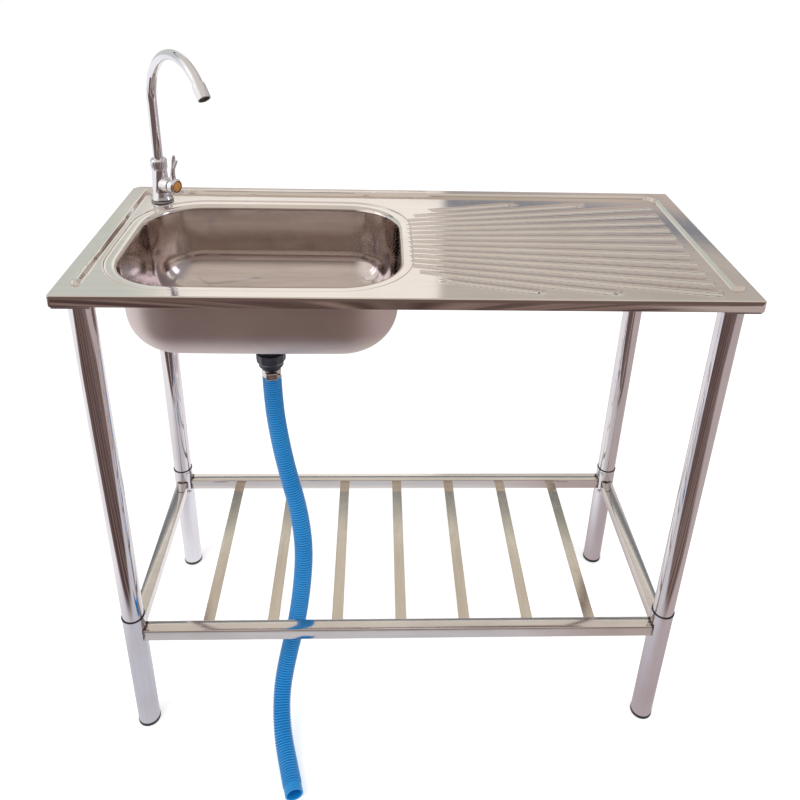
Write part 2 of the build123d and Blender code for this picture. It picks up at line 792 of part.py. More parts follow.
def make_aerator(path):
    """Nozzle sleeve on the spout's end with its mesh insert."""
    tip = path @ 1
    down = path % 1
    mouth = Plane(origin=tip - down * aerator_overlap, z_dir=down)
    with BuildPart() as nozzle:
        with BuildSketch(mouth):
            Circle(aerator_radius)
        extrude(amount=aerator_length)
        chamfer(nozzle.edges(), 0.8)
        with BuildSketch(mouth):
            Circle(spout_radius + slip_clearance)
        extrude(amount=aerator_overlap, mode=Mode.SUBTRACT)
        with BuildSketch(mouth.offset(aerator_overlap)):
            Circle(aerator_radius - aerator_wall)
        extrude(amount=aerator_length, mode=Mode.SUBTRACT)
    finish(nozzle, "aerator")
    with BuildPart() as insert:
        with BuildSketch(mouth.offset(aerator_length - aerator_insert_thickness - 2)):
            Circle(aerator_radius - aerator_wall - slip_clearance)
            with GridLocations(3.4, 3.4, 4, 4):
                Rectangle(1.8, 1.8, mode=Mode.SUBTRACT)
        extrude(amount=aerator_insert_thickness)
    finish(insert, "aerator_insert")


def make_valve():
    """Quarter-turn cartridge in the barrel and the spindle that the lever turns."""
    cartridge_end = barrel_reach - 1
    spindle_start = cartridge_end - spindle_seat_depth
    hub_start = barrel_reach + free_gap
    with BuildPart() as cartridge:
        with BuildSketch(barrel_plane(cartridge_start)):
            Circle(cartridge_radius)
        extrude(amount=cartridge_end - cartridge_start)
        with BuildSketch(barrel_plane(spindle_start - free_gap)):
            Circle(spindle_radius + turn_clearance)
        extrude(amount=spindle_seat_depth + 2 * free_gap, mode=Mode.SUBTRACT)
    finish(cartridge, "valve_cartridge")
    with BuildPart() as spindle:
        with BuildSketch(barrel_plane(spindle_start)):
            Circle(spindle_radius)
        extrude(amount=hub_start + hub_length / 2 - spindle_start)
        with BuildSketch(barrel_plane(hub_start + hub_length / 2)):
            Circle(lever_screw_radius + slip_clearance)
        extrude(amount=-lever_screw_length, mode=Mode.SUBTRACT)
    finish(spindle, "valve_spindle")


def make_lever():
    """Round hub with a slender curved arm that forks at its tip."""
    hub_start = barrel_reach + free_gap
    hub_end = hub_start + hub_length
    arm_plane = Plane(
        origin=barrel_centre,
        x_dir=barrel_direction,
        z_dir=barrel_direction.cross(Vector(0, 0, 1)),
    )
    arm_root = hub_start + hub_length * 0.45
    neck_z = lever_height * 0.58
    fork_z = lever_height * 0.72
    with BuildPart() as lever:
        with BuildSketch(barrel_plane(hub_start)):
            Circle(hub_radius)
        extrude(amount=hub_length)
        chamfer(lever.edges().filter_by(GeomType.CIRCLE), hub_edge)
        with BuildSketch(arm_plane):
            with BuildLine():
                Spline(
                    (arm_root - 6.0, hub_radius - 3),
                    (arm_root - 3.6, neck_z * 0.7),
                    (arm_root - 1.4, fork_z),
                    (arm_root - 1.2, lever_height - 3),
                )
                Spline(
                    (arm_root - 1.2, lever_height - 3),
                    (arm_root + 1.2, lever_height),
                    (arm_root + 4.0, lever_height - 3.5),
                )
                Spline(
                    (arm_root + 4.0, lever_height - 3.5),
                    (arm_root + 4.6, fork_z + 5.0),
                    (arm_root + 7.6, lever_height - 10.5),
                    (arm_root + 11.0, lever_height - 11.5),
                    (arm_root + 9.0, fork_z - 2.0),
                    (arm_root + 4.2, neck_z * 0.8),
                    (arm_root + 5.0, hub_radius - 3),
                )
                Line((arm_root + 5.0, hub_radius - 3), (arm_root - 6.0, hub_radius - 3))
            make_face()
        extrude(amount=lever_thickness / 2, both=True)
        with BuildSketch(barrel_plane(hub_end)):
            Circle(hub_dish_radius)
        extrude(amount=-hub_dish_depth, mode=Mode.SUBTRACT)
        with BuildSketch(barrel_plane(hub_start)):
            Circle(spindle_radius + slip_clearance)
        extrude(amount=hub_length / 2, mode=Mode.SUBTRACT)
        with BuildSketch(barrel_plane(hub_start)):
            Circle(lever_screw_radius + hole_clearance)
        extrude(amount=hub_length, mode=Mode.SUBTRACT)
    finish(lever, "lever")
    screw_seat = hub_end - hub_dish_depth
    with BuildPart() as screw:
        with BuildSketch(barrel_plane(screw_seat)):
            Circle(lever_screw_radius)
        extrude(amount=-lever_screw_length)
        with BuildSketch(barrel_plane(screw_seat)):
            Circle(lever_screw_head_radius)
        extrude(amount=hub_dish_depth - cap_thickness)
    finish(screw, "lever_screw")
    with BuildPart() as cap:
        with BuildSketch(barrel_plane(hub_end - cap_thickness)):
            Circle(hub_dish_radius - 2 * slip_clearance)
        extrude(amount=cap_thickness)
        fillet(cap.edges().sort_by(Axis(barrel_centre, barrel_direction))[-1], cap_thickness * 0.4)
    finish(cap, "index_cap")


# ------------------------------------------------------------------ drain
drain_axis = Axis((drain_x, drain_y, 0), (0, 0, 1))
gasket_top = recess_floor - sheet
drain_body_top = gasket_top - drain_gasket_thickness
strainer_radius = drain_recess_radius - strainer_gap
drain_nut_top_z = recess_floor - drain_nut_drop
drain_nut_bottom_z = drain_nut_top_z - drain_nut_height
drain_nut_rim_z = drain_nut_top_z - drain_nut_rim_height
thread_top = drain_nut_top_z + 4.0
thread_bottom = thread_top - drain_thread_length
tail_radius = hose_bore_radius - slip_clearance
hose_radius = hose_bore_radius + hose_crest_wall
hose_valley_radius = hose_bore_radius + hose_valley_wall
hose_cuff_radius = hose_bore_radius + hose_cuff_wall
tail_flange_radius = drain_thread_radius - free_gap


def drain_profile(points):
    """Closed outline of radius and height beside the drain's axis."""
    with BuildSketch(axis_plane(drain_x, drain_y)) as profile:
        with BuildLine():
            Polyline(*points, close=True)
        make_face()
    return profile.sketch


def make_strainer():
    """Flange in the bowl's recess with a pierced cup and a boss for the screw."""
    cup_radius = drain_hole_radius - 1.0
    seat = recess_floor
    cup_floor = seat - strainer_cup_depth
    with BuildPart() as flange:
        revolve(drain_profile([
            (0, cup_floor),
            (cup_radius, cup_floor),
            (cup_radius, seat),
            (strainer_radius, seat),
            (strainer_radius, seat + strainer_thickness),
            (cup_radius - strainer_thickness, seat + strainer_thickness),
            (cup_radius - strainer_thickness - 2, cup_floor + strainer_thickness),
            (strainer_boss_radius, cup_floor + strainer_thickness),
            (strainer_boss_radius, cup_floor + 2 * strainer_thickness),
            (0, cup_floor + 2 * strainer_thickness),
        ]), axis=drain_axis)
        with BuildSketch(Plane.XY.offset(cup_floor)):
            with Locations((drain_x, drain_y)):
                with PolarLocations(strainer_boss_radius + 2 * strainer_hole_radius, 8):
                    Circle(strainer_hole_radius)
                Circle(drain_screw_radius + hole_clearance)
        extrude(amount=3 * strainer_thickness, mode=Mode.SUBTRACT)
    finish(flange, "drain_strainer")


def make_drain():
    """Gasket, drain body, coupling nut, tail and centre screw under the bowl."""
    with BuildPart() as gasket:
        revolve(drain_profile([
            (drain_hole_radius, drain_body_top),
            (drain_body_flange, drain_body_top),
            (drain_body_flange, gasket_top),
            (drain_hole_radius, gasket_top),
        ]), axis=drain_axis)
    finish(gasket, "drain_gasket")

    cup_floor = thread_top
    bore = drain_thread_radius - drain_body_wall
    web_top = recess_floor - strainer_cup_depth - free_gap
    with BuildPart() as body:
        revolve(drain_profile([
            (drain_body_radius - drain_body_wall, drain_body_top),
            (drain_body_flange, drain_body_top),
            (drain_body_flange, drain_body_top - 3),
            (drain_body_radius, drain_body_top - 6),
            (drain_body_radius - 3, cup_floor + 4),
            (drain_thread_radius, cup_floor),
            (drain_thread_radius, thread_bottom),
            (bore, thread_bottom),
            (bore, cup_floor + drain_body_wall),
            (drain_body_radius - 3 - drain_body_wall, cup_floor + 4 + drain_body_wall),
        ]), axis=drain_axis)
        with BuildSketch(Plane.XY.offset(web_top)):
            with Locations((drain_x, drain_y)):
                Circle(drain_screw_radius + 3)
                Rectangle(2 * drain_body_radius - drain_body_wall, 3)
                Rectangle(3, 2 * drain_body_radius - drain_body_wall)
                Circle(drain_screw_radius + hole_clearance, mode=Mode.SUBTRACT)
        extrude(amount=-8)
    finish(body, "drain_body")

    screw_seat = recess_floor - strainer_cup_depth + 2 * strainer_thickness
    with BuildPart() as screw:
        revolve(drain_profile([
            (0, screw_seat - 14),
            (drain_screw_radius, screw_seat - 14),
            (drain_screw_radius, screw_seat),
            (drain_screw_head_radius, screw_seat),
            (drain_screw_head_radius - 1, screw_seat + 2.5),
            (0, screw_seat + 2.5),
        ]), axis=drain_axis)
        with BuildSketch(Plane.XY.offset(screw_seat + 1.2)):
            with Locations((drain_x, drain_y)):
                Rectangle(2.2 * drain_screw_head_radius, 1.2)
        extrude(amount=3, mode=Mode.SUBTRACT)
    finish(screw, "drain_screw")

    flange_top = thread_bottom - slip_clearance
    with BuildPart() as tail:
        revolve(drain_profile([
            (tail_radius - tail_wall, drain_nut_bottom_z - tail_spigot_length),
            (tail_radius, drain_nut_bottom_z - tail_spigot_length),
            (tail_radius, flange_top - 3),
            (tail_flange_radius, flange_top - 3),
            (tail_flange_radius, flange_top),
            (tail_radius - tail_wall, flange_top),
        ]), axis=drain_axis)
    finish(tail, "drain_tail")

    nut_bore = drain_thread_radius + slip_clearance
    with BuildPart() as nut:
        revolve(drain_profile([
            (tail_radius + slip_clearance, drain_nut_bottom_z),
            (drain_nut_foot_radius - 5, drain_nut_bottom_z),
            (drain_nut_foot_radius, drain_nut_bottom_z + 4),
            (drain_nut_rim_radius - 1, drain_nut_rim_z - 1),
            (drain_nut_rim_radius, drain_nut_rim_z),
            (drain_nut_rim_radius, drain_nut_top_z),
            (nut_bore, drain_nut_top_z),
            (nut_bore, flange_top - 3 - slip_clearance),
            (tail_radius + slip_clearance, flange_top - 3 - slip_clearance),
        ]), axis=drain_axis)
        with BuildSketch(Plane.XY.offset(drain_nut_rim_z + 1)):
            with Locations((drain_x, drain_y)):
                with PolarLocations(drain_nut_rim_radius, drain_nut_flutes):
                    Circle(drain_nut_flute_radius)
        extrude(amount=drain_nut_top_z - drain_nut_rim_z - 3, mode=Mode.SUBTRACT)
    finish(nut, "drain_nut")


def make_clamp():
    """Band clamp round the hose's cuff: the screw box stands off the band on its right side."""
    clamp_top = drain_nut_bottom_z - clamp_drop
    band_inner = hose_cuff_radius + slip_clearance
    band_outer = band_inner + clamp_thickness
    box_x = drain_x + band_outer + clamp_box_height / 2 - 0.5
    box_z = clamp_top - clamp_width / 2
    screw_plane = Plane(origin=(box_x, drain_y - clamp_box_length / 2, box_z), z_dir=(0, -1, 0))
    with BuildPart() as clamp:
        with BuildSketch(Plane.XY.offset(clamp_top)):
            with Locations((drain_x, drain_y)):
                Circle(band_outer)
            with Locations((box_x, drain_y)):
                RectangleRounded(clamp_box_height, clamp_box_length, 1.5)
            with Locations((drain_x, drain_y)):
                Circle(band_inner, mode=Mode.SUBTRACT)
        extrude(amount=-clamp_width)
        with BuildSketch(screw_plane):
            Circle(clamp_screw_radius + hole_clearance)
        extrude(amount=-clamp_box_length, mode=Mode.SUBTRACT)
    finish(clamp, "hose_clamp")
    with BuildPart() as screw:
        with BuildSketch(screw_plane):
            Circle(clamp_screw_radius)
        extrude(amount=-clamp_box_length)
        with BuildSketch(screw_plane):
            RegularPolygon(clamp_screw_head, 6)
        extrude(amount=4)
    finish(screw, "clamp_screw")


# ------------------------------------------------------------------ drain hose
hose_points = [
    (drain_x, drain_y, drain_nut_bottom_z),
    (drain_x, drain_y, drain_nut_bottom_z - 64.0),
    (-220.0, -42.0, 534.0),
    (-206.0, -57.0, 465.0),
    (-186.0, -77.0, 395.0),
    (-176.0, -99.0, 325.0),
    (-180.0, -119.0, 255.0),
    (-190.0, -137.0, 184.0),
    (-206.0, -158.0, 123.0),
    (-217.0, -196.0, 71.0),
    (-212.0, -247.0, 35.0),
    (-195.0, -303.0, hose_radius),
    (-181.0, -350.0, hose_radius),
]


def hose_radii(points):
    """Bend radius at each inner point: as large as its two runs allow."""
    radii = []
    for before, at, after in zip(points, points[1:], points[2:]):
        first = Vector(*at) - Vector(*before)
        second = Vector(*after) - Vector(*at)
        half_turn = radians(first.get_angle(second)) / 2
        radii.append(0.45 * min(first.length, second.length) / tan(half_turn))
    return radii


def ring_plane(path, distance):
    """Plane across the hose at a distance along it, with a steady X axis."""
    share = distance / path.length
    tangent = path % share
    return Plane(origin=path @ share, x_dir=Vector(1, 0, 0), z_dir=tangent)


def make_hose():
    """Corrugated hose: plain cuffs at both ends and ribs between them, with its bore."""
    radii = hose_radii(hose_points)
    with BuildLine() as route:
        FilletPolyline(*hose_points, radius=radii)
    path = route.wire()
    pitch = (path.length - 2 * hose_cuff_length) / hose_ribs
    flank = pitch * (1 - hose_crest_share) / 2 * 0.7
    valley = pitch * (1 - hose_crest_share) / 2 - flank
    stations = [(0.0, hose_cuff_radius), (hose_cuff_length, hose_cuff_radius)]
    for rib in range(hose_ribs):
        foot = hose_cuff_length + rib * pitch
        stations += [
            (foot + valley, hose_valley_radius),
            (foot + valley + flank, hose_radius),
            (foot + pitch - valley - flank, hose_radius),
            (foot + pitch - valley, hose_valley_radius),
        ]
    stations += [
        (path.length - hose_cuff_length, hose_cuff_radius),
        (path.length, hose_cuff_radius),
    ]
    with BuildPart() as hose:
        for distance, radius in stations:
            with BuildSketch(ring_plane(path, distance)):
                Circle(radius)
        loft(ruled=True)
        with BuildSketch(ring_plane(path, 0.0)):
            Circle(hose_bore_radius)
        sweep(path=path, mode=Mode.SUBTRACT)
    finish(hose, "drain_hose")
    print("hose bend radii", [round(radius) for radius in radii])
    print("hose length", round(path.length), "volume", round(hose.part.volume))


make_deck()
make_bowl()
for corner, sides in corners.items():
    make_corner_plate(corner, *sides)
    make_leg(corner, *sides)
make_screws(plate_screw_seats(), plate_screw_length, "plate_screws")
make_screws(leg_screw_seats(), leg_screw_length, "leg_screws")
make_rail("front_rail", True, -1)
make_rail("back_rail", True, 1)
make_rail("left_rail", False, -1)
make_rail("right_rail", False, 1)
for number in range(1, slat_count + 1):
    make_slat(number)
make_tap_body()
make_tap_fixings()
make_collar_nut()
gooseneck = make_spout()
make_aerator(gooseneck)
make_valve()
make_lever()
make_strainer()
make_drain()
make_clamp()
make_hose()
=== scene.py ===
"""Free-standing kitchen sink unit: pressed steel top, slatted tube stand, gooseneck tap and drain hose.

Sizes are millimetres where a name or a function says so; MM turns them into scene units.
Every new piece is a surface worked out as whole numpy arrays.
"""
import bpy
import numpy as np
from math import cos, pi, radians, sin
from mathutils import Matrix, Vector


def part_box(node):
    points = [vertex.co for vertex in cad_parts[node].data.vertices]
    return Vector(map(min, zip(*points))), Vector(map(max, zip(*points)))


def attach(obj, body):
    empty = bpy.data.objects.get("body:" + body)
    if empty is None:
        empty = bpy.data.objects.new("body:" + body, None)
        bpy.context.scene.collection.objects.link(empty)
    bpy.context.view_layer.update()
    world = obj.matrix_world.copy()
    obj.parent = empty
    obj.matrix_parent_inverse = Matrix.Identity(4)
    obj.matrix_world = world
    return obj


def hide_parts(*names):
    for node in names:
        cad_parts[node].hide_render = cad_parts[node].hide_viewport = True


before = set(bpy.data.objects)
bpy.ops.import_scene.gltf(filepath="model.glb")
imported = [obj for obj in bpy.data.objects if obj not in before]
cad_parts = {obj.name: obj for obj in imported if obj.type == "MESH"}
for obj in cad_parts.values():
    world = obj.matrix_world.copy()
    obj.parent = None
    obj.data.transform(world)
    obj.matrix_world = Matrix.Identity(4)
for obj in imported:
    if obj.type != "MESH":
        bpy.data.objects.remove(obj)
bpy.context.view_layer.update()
scene = bpy.context.scene

MM = 0.001
SINK = "sink_unit"
SPOUT = "spout_arm"
LEVER = "lever_handle"
CORNERS = ("front_left", "front_right", "back_left", "back_right")

LAMP_AIM = Vector((0.0, 0.0, 0.6))


def box_mm(node):
    """Lowest and highest corner of a CAD node in millimetres."""
    low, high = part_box(node)
    return np.array(low) / MM, np.array(high) / MM


def middle_mm(node):
    """Middle of a CAD node's box in millimetres."""
    return sum(box_mm(node)) / 2


# ------------------------------------------------------------------ camera and studio
def make_camera():
    """Camera at the photograph's viewing angle, fitted to the top's corners and the legs."""
    image_size = 800.0
    focal_pixels = 794.198
    centre_pixel = (408.048, 265.0)
    position = Vector((-0.054398, -1.191033, 1.409531))
    yaw, pitch, roll = (radians(angle) for angle in (2.696, 25.228, 1.725))
    forward = Vector((sin(yaw) * cos(pitch), cos(yaw) * cos(pitch), -sin(pitch)))
    level_right = Vector((cos(yaw), -sin(yaw), 0.0))
    level_up = level_right.cross(forward)
    right = level_right * cos(roll) + level_up * sin(roll)
    up = level_up * cos(roll) - level_right * sin(roll)
    data = bpy.data.cameras.new("photo_camera")
    data.sensor_width = 36.0
    data.lens = focal_pixels * data.sensor_width / image_size
    data.shift_x = (image_size / 2 - centre_pixel[0]) / image_size
    data.shift_y = (centre_pixel[1] - image_size / 2) / image_size
    data.clip_end = 50.0
    camera = bpy.data.objects.new("photo_camera", data)
    axes = Matrix((right, up, -forward)).transposed()
    camera.matrix_world = Matrix.Translation(position) @ axes.to_4x4()
    scene.collection.objects.link(camera)
    scene.camera = camera


def soft_lamp(name, place, width, power):
    """Square area lamp that faces the object; metal doesn't mirror it."""
    data = bpy.data.lights.new(name, "AREA")
    data.shape = "SQUARE"
    data.size = width
    data.energy = power
    lamp = bpy.data.objects.new(name, data)
    lamp.location = place
    lamp.rotation_euler = (LAMP_AIM - Vector(place)).to_track_quat("-Z", "Y").to_euler()
    lamp.visible_glossy = False
    scene.collection.objects.link(lamp)


# ------------------------------------------------------------------ node helpers
class Nodes:
    """A node tree with short calls for the nodes that the finishes use."""

    def __init__(self, tree):
        self.tree = tree

    def add(self, kind, **inputs):
        """New node; an input given as a socket is linked and any other value is set."""
        return self.fill(self.tree.nodes.new("ShaderNode" + kind), **inputs)

    def fill(self, node, **inputs):
        """Feed a node's inputs by name, with _ in place of a space."""
        for name, value in inputs.items():
            self.feed(node.inputs[name.replace("_", " ")], value)
        return node

    def feed(self, socket, value):
        """Link an output to a socket, or set the socket's own value."""
        if isinstance(value, bpy.types.NodeSocket):
            self.tree.links.new(value, socket)
        elif isinstance(value, tuple) and len(value) == 3 and socket.type == "RGBA":
            socket.default_value = (*value, 1.0)
        else:
            socket.default_value = value

    def math(self, operation, first, second=0.0, clamp=False):
        node = self.add("Math")
        node.operation = operation
        node.use_clamp = clamp
        self.feed(node.inputs[0], first)
        self.feed(node.inputs[1], second)
        return node.outputs[0]

    def vector(self, operation, first, second=(0.0, 0.0, 0.0)):
        node = self.add("VectorMath")
        node.operation = operation
        self.feed(node.inputs[0], first)
        self.feed(node.inputs[1], second)
        return node.outputs["Value" if operation == "LENGTH" else "Vector"]

    def split(self, vector):
        node = self.add("SeparateXYZ", Vector=vector)
        return node.outputs[0], node.outputs[1], node.outputs[2]

    def step(self, value, low, high, smooth=True):
        """0 below low, 1 above high."""
        node = self.add("MapRange", Value=value, From_Min=low, From_Max=high)
        node.interpolation_type = "SMOOTHSTEP" if smooth else "LINEAR"
        return node.outputs["Result"]

    def mix(self, share, first, second):
        """Colour between two others."""
        node = self.add("Mix")
        node.data_type = "RGBA"
        for socket, value in zip((0, 6, 7), (share, first, second)):
            self.feed(node.inputs[socket], value)
        return node.outputs[2]

    def banded(self, value, colour, bands):
        """Colour that changes along a value; each band is (start, end, colour past it)."""
        for start, end, past in bands:
            colour = self.mix(self.step(value, start, end), colour, past)
        return colour

    def product(self, first, *others):
        """Numbers multiplied together."""
        for other in others:
            first = self.math("MULTIPLY", first, other)
        return first

    def blend(self, share, first, second):
        """Shader node between two others."""
        node = self.add("MixShader", Fac=share)
        self.feed(node.inputs[1], first.outputs[0])
        self.feed(node.inputs[2], second.outputs[0])
        return node

    def noise(self, vector, scale, detail=2.0, roughness=0.5):
        node = self.add("TexNoise", Vector=vector, Scale=scale, Detail=detail, Roughness=roughness)
        return node.outputs["Fac"]

    def stretched(self, vector, scale):
        """Coordinates scaled differently along each axis."""
        return self.add("Mapping", Vector=vector, Scale=scale).outputs[0]

    def attribute(self, name):
        """Number stored on the mesh."""
        node = self.add("Attribute")
        node.attribute_name = name
        return node.outputs["Fac"]


def new_group(name, inputs, outputs):
    """Node group with named sockets; gives it, its Nodes, its given inputs and its outputs to feed."""
    tree = bpy.data.node_groups.new(name, "ShaderNodeTree")
    for label, kind, value in inputs:
        socket = tree.interface.new_socket(label, in_out="INPUT", socket_type="NodeSocket" + kind)
        if value is not None:
            socket.default_value = value
    for label, kind in outputs:
        tree.interface.new_socket(label, in_out="OUTPUT", socket_type="NodeSocket" + kind)
    entry = tree.nodes.new("NodeGroupInput")
    leave = tree.nodes.new("NodeGroupOutput")
    return tree, Nodes(tree), entry.outputs, leave.inputs


def make_brush_group():
    """Fine scratches along one direction: noise squeezed across it, in two widths."""
    tree, n, given, out = new_group(
        "brush_lines",
        [("Along", "Vector", None), ("Fine", "Float", 900.0), ("Broad", "Float", 90.0)],
        [("Lines", "Float"), ("Bands", "Float")])
    fine = n.noise(given["Along"], given["Fine"], 3.0, 0.6)
    broad = n.noise(given["Along"], given["Broad"], 4.0, 0.65)
    n.feed(out["Lines"], n.step(fine, 0.25, 0.75, smooth=False))
    n.feed(out["Bands"], n.step(broad, 0.3, 0.7))
    return tree


def make_smudge_group():
    """Soft clouds of handling and drying marks, with smaller flecks inside them."""
    tree, n, given, out = new_group(
        "smudges",
        [("Place", "Vector", None), ("Size", "Float", 6.0)],
        [("Cloud", "Float"), ("Fleck", "Float")])
    cloud = n.noise(given["Place"], given["Size"], 3.0, 0.55)
    fleck = n.noise(given["Place"], n.math("MULTIPLY", given["Size"], 9.0), 4.0, 0.6)
    n.feed(out["Cloud"], n.step(cloud, 0.35, 0.68))
    n.feed(out["Fleck"], n.step(fleck, 0.45, 0.75))
    return tree


BRUSH = make_brush_group()
SMUDGE = make_smudge_group()


def place_group(n, tree, **inputs):
    """Put a group into a material and feed its inputs."""
    node = n.add("Group")
    node.node_tree = tree
    return n.fill(node, **inputs).outputs


def new_material(name, roughness=0.3, metallic=0.0, **sockets):
    """Material with one Principled shader; gives it, its Nodes, its shader and object coordinates."""
    material = bpy.data.materials.new(name)
    material.use_nodes = True
    n = Nodes(material.node_tree)
    shader = n.fill(n.tree.nodes["Principled BSDF"], Roughness=roughness, Metallic=metallic, **sockets)
    return material, n, shader, n.add("TexCoord").outputs["Object"]


def bump(n, shader, height, distance_mm, strength):
    """Raise the surface by a height mask."""
    node = n.add("Bump", Strength=strength, Distance=distance_mm * MM, Height=height)
    n.fill(shader, Normal=node.outputs["Normal"])


def srgb(red, green, blue):
    """Linear colour of an 8-bit screen colour."""
    parts = np.array([red, green, blue]) / 255.0
    linear = np.where(parts <= 0.04045, parts / 12.92, ((parts + 0.055) / 1.055) ** 2.4)
    return tuple(float(value) for value in linear)


# ------------------------------------------------------------------ world and floor
WHITE = (1.0, 1.0, 1.0)
SKY, SKY_LIGHT = (0.98, 0.99, 1.0), 0.62
BACKDROP = (1.08, 1.04, 0.99)
WALL_BEIGE = (0.57, 0.53, 0.49)
WALL_PALE = (0.74, 0.71, 0.66)
WALL_PINK = (0.61, 0.53, 0.49)
WALL_SLATE = (0.24, 0.27, 0.32)
SHELF_SLATE = (0.22, 0.23, 0.26)
SHELF_GREEN = (0.40, 0.43, 0.39)
SKIRTING = (0.22, 0.16, 0.14)
LEFT_PALE = (0.66, 0.70, 0.66)
ROOM_BROWN = (0.20, 0.145, 0.135)
CEILING = (0.74, 0.68, 0.61)
RIGHT_GREY = (0.42, 0.40, 0.43)
WINDOW_LIGHT = (2.4, 2.35, 2.7)
PAPER_WHITE = (1.0, 0.99, 1.0)
PAPER_SHADE = (0.66, 0.655, 0.69)
PAPER_PINK = (0.54, 0.46, 0.45)
ROOM_DARK = (0.085, 0.052, 0.052)
ROOM_LIGHT = (0.27, 0.195, 0.17)

# The mirrored room, along the rise (z), the side (x), the depth (y) and the bearing (x / y) of a ray's
# direction. A pair is where one colour starts to give way and where it has gone.
WALL_BANDS = (
    (0.06, 0.28, WALL_PINK),
    (0.338, 0.344, WALL_SLATE),
    (0.364, 0.370, WALL_BEIGE),
    (0.42, 0.55, WALL_PALE),
)
SHELF_BANDS = (
    (0.59, 0.61, SHELF_SLATE),
    (0.652, 0.672, SHELF_GREEN),
    (0.680, 0.684, BACKDROP),
    (0.692, 0.700, CEILING),
)
BACKDROP_FOOT = (0.330, 0.345)
BACKDROP_RIGHT, BACKDROP_LEFT = (0.085, 0.100), (-0.36, -0.24)
FRONT_CEILING, OVERHEAD = (0.25, 0.7), (0.75, 0.95)
LEFT_SIDE, RIGHT_SIDE, BEHIND = (-0.7, -0.25), (0.45, 0.8), (0.0, 0.25)
WINDOWS = ((1.0, -0.22, -0.06), (-1.0, -0.31, -0.27), (-1.0, -0.18, -0.14))
WINDOW_SIDE, WINDOW_SILL, WINDOW_HEAD, WINDOW_BLUR = (0.80, 0.84), (0.24, 0.30), (0.62, 0.54), 0.03

# The mirrored floor, in metres; forward is toward the camera.
FLOOR_HALF, FLOOR_GLOW = 14.0, 0.42
PAPER_LEFT, PAPER_BACK, PAPER_RIGHT, PAPER_FRONT = (-0.95, -0.55), (-0.15, 0.15), (0.15, 0.50), (0.44, 0.54)
BROWN_LEFT, LEFT_SLANT = (-1.75, -1.45), 0.35
BROWN_RIGHT, RIGHT_SLANT, RIGHT_CORNER = (0.75, 1.05), 1.77, 1.5
FAR_CENTRE, FAR_REACH, FAR_LEFT = (-0.43, 0.15, 0.0), (2.3, 2.8), (-3.4, -3.0)
STREAK_FOCUS, STREAK_RANGE = (0.0, 0.1, 0.0), (0.36, 0.66)
STREAK_FADE, STREAK_MEAN = (2.15, 1.75), 0.42


def make_world():
    """Studio round the object: plain white to the camera, soft light, and a room for metal to mirror.

    The mirrored room is worked out from the ray's direction. Behind the object stand a bright
    backdrop and, to its right, a beige wall with a slate band and a pink foot; a slate shelf
    hangs above both. The left is white, the right is grey, and the front is a dark brown room
    under a paler ceiling. A window stands at the right and two narrow ones at the left, each
    given by its side and its reach in depth.
    """
    world = bpy.data.worlds.new("studio")
    scene.world = world
    world.use_nodes = True
    n = Nodes(world.node_tree)
    n.tree.nodes.clear()
    across, back, rise = n.split(n.add("TexCoord").outputs["Generated"])
    bearing = n.math("DIVIDE", across, n.math("MAXIMUM", back, 0.05))
    wall = n.banded(rise, SKIRTING, WALL_BANDS)
    bright = n.mix(n.step(rise, *BACKDROP_FOOT), WALL_PINK, BACKDROP)
    wall = n.mix(n.step(bearing, *BACKDROP_RIGHT), bright, wall)
    wall = n.mix(n.step(bearing, *BACKDROP_LEFT), LEFT_PALE, wall)
    wall = n.banded(rise, wall, SHELF_BANDS)
    front = n.mix(n.step(rise, *FRONT_CEILING), ROOM_BROWN, CEILING)
    side = n.mix(n.step(across, *LEFT_SIDE), BACKDROP, front)
    side = n.mix(n.step(across, *RIGHT_SIDE), side, RIGHT_GREY)
    room = n.mix(n.step(back, *BEHIND), side, wall)
    room = n.mix(n.step(rise, *OVERHEAD), room, CEILING)
    level = n.product(n.step(rise, *WINDOW_SILL), n.step(rise, *WINDOW_HEAD))
    for hand, low, high in WINDOWS:
        facing = n.step(n.product(across, hand), *WINDOW_SIDE)
        left, right = n.step(back, low - WINDOW_BLUR, low), n.step(back, high + WINDOW_BLUR, high)
        room = n.mix(n.product(left, right, facing, level), room, WINDOW_LIGHT)
    mirrored = n.add("Background", Color=room, Strength=1.0)
    seen = n.add("Background", Color=WHITE, Strength=1.0)
    light = n.add("Background", Color=SKY, Strength=SKY_LIGHT)
    rays = n.add("LightPath").outputs
    plain = n.math("MAXIMUM", rays["Is Camera Ray"], rays["Is Transmission Ray"])
    both = n.blend(rays["Is Glossy Ray"], n.blend(plain, light, seen), mirrored)
    n.add("OutputWorld", Surface=both.outputs[0])


